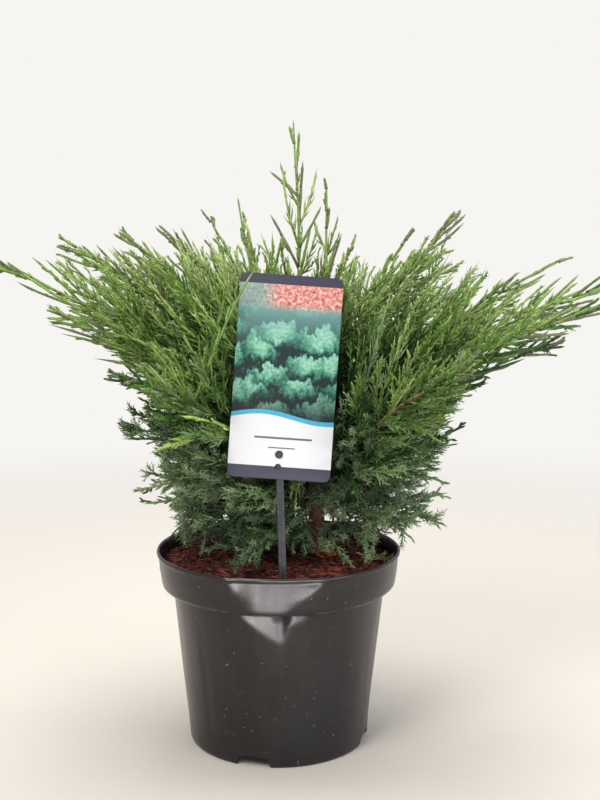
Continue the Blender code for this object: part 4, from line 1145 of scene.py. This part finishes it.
class Growth:
    # a batch of shoots: where each starts, where it heads, how it curls, its length and its plume, the
    # flat that it lies in, how far out it is, how young it is, and its mark if it may stand out
    def __init__(self, *values):
        for name, value in zip(growthParts, values):
            setattr(self, name, value)

    def at(self, shares):
        shares = np.broadcast_to(shares, (len(self.root), np.shape(shares)[-1]))[..., None]
        path = self.direction[:, None] * shares + self.curl[:, None] * shares**2
        return self.root[:, None] + path * self.length[:, None, None]

    def tangent(self, shares):
        shares = np.broadcast_to(shares, (len(self.root), np.shape(shares)[-1]))[..., None]
        return unit(self.direction[:, None] + 2 * self.curl[:, None] * shares)

    def keep(self, wanted):
        return Growth(*(getattr(self, name)[wanted] for name in growthParts))


def treeOf(points, numbers):
    tree = KDTree(len(points))
    for point, number in zip(points, numbers):
        tree.insert(point, int(number))
    tree.balance()
    return tree


class Space:
    # the room of each plume: what lies nearer to its own axis than to any other
    def __init__(self, axes):
        self.every = treeOf(np.concatenate(axes), np.repeat(np.arange(len(axes)), axisPoints + 1))
        self.own = [treeOf(axis, range(len(axis))) for axis in axes]
        self.trunk = treeOf([trunkPoint(step / 60) for step in range(61)], range(61))
        self.toCard = np.array(cardFrame().inverted())
        self.toStake = np.array(stakeFrame().inverted())
        bare = axes[[plume[0] for plume in plumes].index(bareLimb["plume"])]
        self.bare = along(bare, np.linspace(bareLimb["from"], bareLimb["to"], 16))[0]

    def room(self, points, numbers):
        found = []
        for point, number in zip(points, numbers):
            owner, distance = self.every.find(point)[1:]
            found.append(0.0 if owner == number else (distance - self.own[number].find(point)[2]) / 2)
        return np.array(found)

    def leavesInSight(self, points):
        # the card and its stake are free of leaves
        card = points @ self.toCard[:3, :3].T + self.toCard[:3, 3]
        wide, tall = (size / 2 + labelSet["clearAround"] for size in labelSet["cardSize"])
        behind = labelSet["clearBehind"]
        onCard = (np.abs(card[..., 0]) < wide) & (np.abs(card[..., 2]) < tall) & (card[..., 1] < behind)
        stake = points @ self.toStake[:3, :3].T + self.toStake[:3, 3]
        beside = (np.abs(stake[..., 0]) < labelSet["stakeClear"]) & (stake[..., 1] < behind)
        onStake = beside & (stake[..., 2] < labelSet["peg"][1])
        # and nothing hangs before the bare limb
        camera = np.array(cameraSet["place"])
        seen, limb = points - camera, self.bare - camera
        seen = seen[..., None, [0, 2]] / seen[..., None, 1:2]
        near = points[..., None, 1] < self.bare[:, 1] + 0.003
        apart = np.linalg.norm(seen - limb[:, [0, 2]] / limb[:, 1:2], axis=-1) * abs(camera[1])
        onLimb = ((apart < bareLimb["room"]) & near).any(axis=-1)
        return ~(onCard | onStake | onLimb)

    def insideBox(self, points):
        low, high = (np.array(corner) for corner in cadBox)
        return ((points > low + boxMargin) & (points < high - boxMargin)).all(axis=-1)

    def crownSpan(self, points):
        # the lowest and the highest leaf, where a point is seen from the front
        aside = (points[..., 0] - trunkSet["foot"][0]) / (1 - points[..., 1] / cameraSet["place"][1])
        low, high = np.zeros(aside.shape), np.zeros(aside.shape)
        for side, rows in zip((-1, 1), crownEdge.values()):
            reach, lowest, highest = np.array(rows).T
            there = side * aside >= 0
            low = np.where(there, np.interp(side * aside, reach, lowest), low)
            high = np.where(there, np.interp(side * aside, reach, highest), high)
        return low, high

    def insideCrown(self, points, slack):
        # the outline runs in and out by a little
        low, high = self.crownSpan(points)
        ripple = crownRipple * np.sin(points @ np.array([150.0, 90.0, 210.0])) + slack
        return (points[..., 2] > low - ripple) & (points[..., 2] < high + ripple)

    def outness(self, points, numbers):
        # 0 at the trunk, and 1 at the end of the plume or where the crown ends
        steps = [self.own[number].find(point)[1] for point, number in zip(points, numbers)]
        share = np.array(steps) / axisPoints
        low, high = self.crownSpan(points)
        inward = np.minimum(points[:, 2] - low, high - points[:, 2])
        return share + (1 - share) * (1 - np.clip(inward / foliageSet["edgeDepth"], 0, 1))

    def allows(self, points, numbers, margin, slack):
        # points is (shoot, place, xyz)
        crown = self.insideCrown(points, slack[:, None])
        fine = (self.leavesInSight(points) & self.insideBox(points) & crown).all(axis=1)
        fine &= (points[..., 2] > foliageSet["lowest"]).all(axis=1)
        for place in range(points.shape[1]):
            where = np.nonzero(fine)[0]
            near = np.array([self.trunk.find(point)[2] for point in points[where, place]])
            fine[where] &= near > foliageSet["trunkClear"]
            where = np.nonzero(fine)[0]
            if len(where):
                fine[where] &= self.room(points[where, place], numbers[where]) > margin
        return fine


def shootsRound(tangent, turn, angle):
    # directions at an angle from a tangent, turned round it
    side = sideOf(tangent)
    outward = side * np.cos(turn)[:, None] + np.cross(tangent, side) * np.sin(turn)[:, None]
    return tangent * np.cos(angle)[:, None] + outward * np.sin(angle)[:, None]


def partAcross(tangent, direction):
    # what of the tangent lies across the direction, to curl towards it
    return tangent - direction * (tangent * direction).sum(-1, keepdims=True)


def firstShoots(rng, axes, space):
    # the side shoots of each plume's own stem, each shortened until it keeps to its room
    f = foliageSet
    batches = []
    for number, (plume, axis) in enumerate(zip(plumes, axes)):
        start, over = plume[1], plume[4]
        fullness, onBough, young = plume[7:]
        length = lengthOf(axis)
        begin = f["begin"] if onBough else 1.6 * trunkRadius(start) / length
        leafy = length * (1 - begin)
        # a whip bears few side shoots, most of them low down on it
        whip = (1 - fullness) ** 3
        count = leafy / f["stemStep"] / (1 + f["whipThins"] * whip) * (1 + f["youngThickens"] * young)
        count = max(8, round(count))
        rise = (np.arange(count) + rng.uniform(-0.3, 0.3, count)).clip(0, count - 1) / (count - 1)
        rise = rise ** (1 + 0.5 * whip)
        share = begin + (1 - begin) * (f["stemEnd"] * rise)
        root, tangent = along(axis, share)
        turn = rng.uniform(0, math.tau) + np.arange(count) * goldenTurn
        low, high = f["shootAngle"]
        angle = np.radians(low + (high - low) * rise)
        angle = angle * (1 + 0.25 * young) + rng.normal(0, 0.10, count)
        direction = shootsRound(tangent, turn, angle)
        wanted = leafy * (f["shootShare"][0] * (1 - rise) ** 1.15 + f["shootShare"][1])
        wanted *= (f["whipLength"] + (1 - f["whipLength"]) * fullness) * rng.uniform(0.70, 1.15, count)
        wanted = np.minimum(wanted, length * (1 - share) * 1.05 + 0.010)
        curl = f["shootCurl"] * partAcross(tangent, direction)
        # the inner shoots turn up, and those of the young growth turn every way
        wild = rng.normal(0, f["liftSpread"] * (1 + 2.5 * young), count)
        curl[:, 2] += f["lift"] * (1 - 1.2 * young) * (1 - rise) + wild
        normal = unit(np.cross(tangent, direction))
        numbers = np.full(count, number)
        atEnd = rise > f["endRise"]
        mark = np.where(atEnd, marks["end"], 0.0)
        batch = Growth(root, direction, curl, wanted, numbers, normal, share, np.full(count, young), mark)
        waiting = np.arange(count)
        final = np.zeros(count)
        slack = f["reachOut"] - np.abs(rng.normal(0, f["reachSpread"], count))
        slack += np.where(atEnd, f["highEndOut"] if over > f["highPlume"] else f["endOut"], 0)
        for size in f["sizes"]:
            trial = batch.keep(waiting)
            trial.length = wanted[waiting] * size
            points = trial.at(np.array([0.45, 0.75, 1.0]))
            fine = space.allows(points, numbers[waiting], f["margin"], slack[waiting])
            final[waiting[fine]] = wanted[waiting[fine]] * size
            waiting = waiting[~fine]
            if not len(waiting):
                break
        batch.length = final
        batch = batch.keep(final > f["shortest"])
        batch.outer = space.outness(batch.at(np.array([0.75]))[:, 0], batch.plume)
        batches.append(batch)
    return mergeGrowth(batches)


def strayShoots(axes):
    names = [plume[0] for plume in plumes]
    rows = [(*row, *youngStray) if len(row) == 3 else (*row, 0.0, 0.0)[:6] for row in strays]
    owners, places, tips, arch, young, mark = zip(*rows)
    numbers = np.array([names.index(name) for name in owners])
    root = np.stack([along(axes[number], place)[0] for number, place in zip(numbers, places)])
    chord = np.array(tips) / 1000 - root
    length = np.linalg.norm(chord, axis=1)
    curl = np.array([(0, 0, -2.0 * arched) for arched in arch])
    direction = chord / length[:, None] - curl
    young = np.array(young)
    outer = np.where(young > 0.5, 0.55, 0.90)
    mark = np.maximum(mark, marks["stray"] * (young < 0.5))
    return Growth(root, direction, curl, length, numbers, sideOf(direction), outer, young, mark)


def outBy(growth):
    # how far side growth may reach out of the crown
    f = foliageSet
    return np.select([growth.mark >= marks["stray"], growth.mark > 0], [f["strayOut"], f["onEndOut"]], 0.0)


def mergeGrowth(batches):
    return Growth(*(np.concatenate([getattr(batch, name) for batch in batches]) for name in growthParts))


def fadeIn(value, start, run):
    # 0 before the start, and 1 from the end of the run on; a run below 0 goes the other way
    return np.clip((value - start) / run, 0, 1)


def lateness(outer, young):
    # 0 well inside a plume, 1 at its end, where the growth is older, barer and thicker
    return fadeIn(outer, 0.60, 0.32) * (1 - young)


def dealPlaces(rng, lengths, step, least, low, high):
    # places along each parent, with the number of their parent and their rank on it
    counts = np.maximum(least, np.round(lengths / step)).astype(int)
    owner = np.repeat(np.arange(len(counts)), counts)
    rank = np.arange(len(owner)) - np.repeat(np.cumsum(counts) - counts, counts)
    return owner, rank, (rank + rng.uniform(low, high, len(owner))) / counts[owner]


def sideGrowth(rng, space, parents, kind):
    # two ranks of shoots along each parent, rolled about it at random, shorter towards its tip
    owner, rank, place = dealPlaces(rng, parents.length, kind["step"], kind["least"], 0.2, 0.8)
    first, last = kind["span"]
    place = first + (last - first) * place
    grown = parents.keep(owner)
    root = grown.at(place[:, None])[:, 0]
    tangent = grown.tangent(place[:, None])[:, 0]
    normal = unit(partAcross(grown.normal, tangent))
    across = np.cross(tangent, normal) * np.where(rank % 2, 1, -1)[:, None]
    rolled = rng.normal(0, kind["roll"], len(owner))[:, None]
    outward = across * np.cos(rolled) + normal * np.sin(rolled)
    # towards the ends of a plume the side growth is sparse and short and lies close to its shoot
    outer = space.outness(root, grown.plume) if space else grown.outer
    outer = np.where(grown.mark > 0, np.maximum(outer, 0.85), outer)
    # the ends that stand out low down are forked
    marked = (grown.mark > 0) & (grown.mark < marks["fresh"])
    low = marked & (root[:, 2] < foliageSet["forkedUnder"])
    late = np.where(low, 0.25, lateness(outer, grown.young))
    wide = np.radians(kind["angle"]) * (1 + 0.25 * grown.young + 0.50 * low)
    lean = wide * (1 - 0.30 * place) * (1 - kind["close"] * late) + rng.normal(0, 0.09, len(owner))
    direction = tangent * np.cos(lean)[:, None] + outward * np.sin(lean)[:, None]
    length = np.clip(kind["share"] * grown.length * (1.05 - place), *kind["length"])
    length *= rng.uniform(0.72, 1.18, len(owner))
    length *= 1 - foliageSet["tipShort"] * late
    bend = kind["curl"] * partAcross(tangent, direction)
    flat = unit(np.cross(tangent, direction))
    grown = Growth(root, direction, bend, length, grown.plume, flat, outer, grown.young, grown.mark)
    left = rng.random(len(owner)) > foliageSet["tipBare"] * late
    return grown.keep(left), owner[left]


def needleGrowth(rng, parents):
    # spreading young needles all round each twig
    f = foliageSet
    owner, rank, place = dealPlaces(rng, parents.length, f["needleStep"], 6, 0, 0.6)
    grown = parents.keep(owner)
    root = grown.at(place[:, None])[:, 0]
    tangent = grown.tangent(place[:, None])[:, 0]
    turn = rank * goldenTurn + grown.length * 900
    lean = np.radians(f["needleAngle"]) * (1 - 0.45 * place) + rng.normal(0, 0.12, len(owner))
    direction = shootsRound(tangent, turn, lean)
    length = rng.uniform(*f["needleLength"], len(owner)) * (1 - 0.25 * place)
    return root, root + direction * length[:, None], owner


def growFoliage(axes):
    f = foliageSet
    rng = np.random.default_rng(f["seed"])
    space = Space(axes)
    shoots = mergeGrowth([firstShoots(rng, axes, space), strayShoots(axes)])
    branches = sideGrowth(rng, space, shoots, branchSet)[0]
    slack = f["reachOut"] - np.abs(rng.normal(0, f["reachSpread"] / 2, len(branches.root)))
    slack += outBy(branches)
    fine = space.allows(branches.at(np.array([0.5, 1.0])), branches.plume, f["branchMargin"], slack)
    # a whip bears few branches
    fullness = np.array([plume[7] for plume in plumes])
    fine &= rng.random(len(fine)) < f["whipBranches"] + fullness[branches.plume]
    branches = branches.keep(fine)
    strands = {}

    def collect(kind, colours, growth, radii):
        # strands of three sides, in the kind and colour that each goes to
        for index in np.unique(colours):
            part = growth.keep(colours == index)
            width = radii * (1 + (f["tipThick"] - 1) * lateness(part.outer, part.young))[:, None]
            batch = strandArrays(part.at(np.linspace(0, 1, len(radii))), width, 3)
            strands.setdefault((kind, list(greens)[index]), []).append(batch)

    # stems out to the plume tips
    centres = []
    for plume, axis in zip(plumes, axes):
        start = bareLimb["to"] if plume[0] == bareLimb["plume"] else f["stemFrom"]
        centres.append(along(axis, np.linspace(start, 1 - 0.14 * plume[9], f["stemPoints"]))[0])
    centres = np.stack(centres)
    radii = np.full(centres.shape[:2], f["stemRadius"]) * np.linspace(1, 0.5, f["stemPoints"])
    # the stems of the low plumes are in painted shade
    high = np.array([plume[4] > 0.17 for plume in plumes])
    for colour, chosen in (("leafGreen", high), ("shadeGreen", ~high)):
        strands["Cords", colour] = [strandArrays(centres[chosen], radii[chosen], 5)]

    # young needled growth is commonest low down and near the stem
    bearing = mergeGrowth([branches, shoots])
    needled = rng.random(len(bearing.root)) < bearing.young * (1.25 - 0.5 * bearing.outer)
    colours = dealColours(rng, bearing)
    count = len(branches.root)
    # the young shoots take the shade green, and the inner shoots the painted shade green
    woody = np.where(shoots.young > 0.5, greenCode["shadeGreen"], colours[count:])
    woody = np.where(shoots.outer < 0.45, greenCode["paintedShadeGreen"], woody)
    knobs = 1 + 0.16 * np.cos(np.arange(8) * 2.2)
    collect("Cords", woody, shoots, np.linspace(*f["shootRadius"], 8) * knobs)
    swell = np.array([0.85, 1.10, 0.85, 1.0, 0.0])
    collect("Cords", colours[:count], branches, np.linspace(*f["branchRadius"], 5) * swell)

    def grownTwigs(chosen, kind):
        twigs, owner = sideGrowth(rng, space, bearing.keep(chosen), kind)
        ends = twigs.at(np.array([1.0]))
        slack = f["twigOut"] + outBy(twigs)[:, None]
        clear = space.leavesInSight(ends) & space.insideBox(ends) & space.insideCrown(ends, slack)
        clear = clear[:, 0] & (ends[:, 0, 2] > f["lowest"])
        return twigs.keep(clear), colours[chosen][owner][clear]

    twigs, twigColours = grownTwigs(~needled, twigSet)
    collect("Cords", twigColours, twigs, np.array([0.75, 1.0, 0.0]) * f["twigRadius"])
    youngTwigs, youngColours = grownTwigs(needled, youngTwigSet)
    collect("Needles", youngColours, youngTwigs, np.array([0.8, 0.0]) * f["twigRadius"])
    roots, tips, owner = needleGrowth(rng, mergeGrowth([bearing.keep(needled), youngTwigs]))
    clear = space.leavesInSight(tips) & space.insideBox(tips)
    needleColour = np.concatenate([colours[needled], youngColours])[owner]
    for index in np.unique(needleColour):
        part = clear & (needleColour == index)
        centres = np.stack([roots[part], tips[part]], axis=1)
        wide = np.full((int(part.sum()), 2), f["needleRadius"])
        strands.setdefault(("Needles", list(greens)[index]), []).append(strandArrays(centres, wide, 3))
    print(len(shoots.root), "shoots,", count, "branches,", len(twigs.root), "twigs,", len(roots), "needles")
    return strands


def dealColours(rng, growth):
    # painted light at the ends of the high plumes, painted shade deep inside and low down, and grey on the
    # young growth, which takes the shade green where it gets little painted light
    w, d = paintedLightSet, dealSet
    count = len(growth.root)
    outer, young = growth.outer, growth.young
    middle = growth.at(np.array([0.5]))[:, 0]
    aside, height = middle[:, 0], middle[:, 2]
    clump = np.array([noise.noise(Vector(spot) * w["clumpScale"]) for spot in middle])
    streak = np.array([noise.noise(Vector(spot) * w["streakScale"]) for spot in middle])
    # painted light: more towards a plume's end and higher up, in clumps, and less on the young growth
    start, run = w["heightRun"]
    raised = np.clip((height - start) / run, -0.26, 1)
    light = w["outer"] * np.minimum(outer, 1.40 - outer) + w["height"] * raised
    light += w["clump"] * clump + rng.normal(0, w["spread"], count)
    light += w["grown"] * (1 - young) - w["less"]
    # painted shade on the far right, and painted light on the low sprays on the right, which makes them paler
    light -= w["farRight"] * fadeIn(aside, *w["farRightRun"])
    light += w["lowRight"] * fadeIn(aside, *w["rightRun"]) * fadeIn(height, *w["lowRun"])
    # towards the bottom of the crown the green turns cooler, old tips ripen, and a few twigs are dry
    start, run = d["coolRun"]
    cool = (light > d["cool"]) & (rng.random(count) < (start - height) / run)
    aged = (1 - young) * fadeIn(outer, *d["agedRun"])
    olive = (light > d["olive"]) & (streak + d["oliveAged"] * aged > d["oliveStreak"]) & ~cool
    ripe = rng.random(count) < aged * np.where(height > d["ripeOver"], d["ripeHigh"], d["ripeLow"])
    turned = rng.random(count) < d["youngGrey"] * young - 0.17
    dry = (outer < 0.45) & (growth.length < d["dryLength"]) & (rng.random(count) < d["dry"])
    # each choice overrules those before it
    colour = np.full(count, greenCode["paintedShadeGreen"])
    for chosen, name in (
        (light > d["paintedHalfShadeGreen"], "paintedHalfShadeGreen"), (light > d["leafGreen"], "leafGreen"),
        (light > d["paintedLightGreen"], "paintedLightGreen"), (cool, "coolGreen"), (olive, "oliveGreen"), (ripe, "ripeTip"),
        (turned, "shadeGreen"), (turned & (light > d["grey"]), "greyGreen"),
        (growth.mark >= marks["olive"], "oliveGreen"), (growth.mark >= marks["fresh"], "freshGreen"),
        (dry, "dryTan"),
    ):
        colour[chosen] = greenCode[name]
    return colour


def leafMaterial(name, colour):
    material, tree, shader = startMaterial(name, colour, 0.52, 0.28)
    darker = tuple(channel * 0.72 for channel in colour)
    lighter = tuple(min(1.0, channel * 1.30) for channel in colour)
    mottle = rampOf(tree, noiseOf(tree, 95, 2), ((0.32, darker), (0.68, lighter)))
    setInputs(tree, shader, {"Base Color": mottle})
    return material


def buildFoliage(axes):
    strands = growFoliage(axes)
    masses = [f"plume_{plume[0]}" for plume in plumes]
    total = 0
    for kind in ("Cords", "Needles"):
        for colour, value in greens.items():
            if (kind, colour) not in strands:
                continue
            material = leafMaterial(colour + kind, value)
            points, faces = joinArrays(strands[kind, colour])
            parts = max(1, math.ceil(len(faces) / foliageSet["mostTriangles"]))
            for number, chosen in enumerate(np.array_split(faces, parts)):
                used, again = np.unique(chosen, return_inverse=True)
                name = f"{colour}{kind}{number + 1}"
                mesh = arrayMesh(name, points[used], again.reshape(-1, 3))
                finishPiece(addPiece(name, mesh, material), "foliage", *masses)
                total += len(chosen)
    print("foliage has", total, "triangles")


def joinArrays(batches):
    offset = 0
    points, faces = [], []
    for batchPoints, batchFaces in batches:
        points.append(batchPoints)
        faces.append(batchFaces + offset)
        offset += len(batchPoints)
    return np.concatenate(points), np.concatenate(faces)


# Everything together

setUpRoom()
buildPot(potMaterial())
buildSoil()
buildLabel()
plumeAxes = [plumeAxis(plume, seed) for seed, plume in enumerate(plumes)]
buildLimbs(plumeAxes)
buildFoliage(plumeAxes)
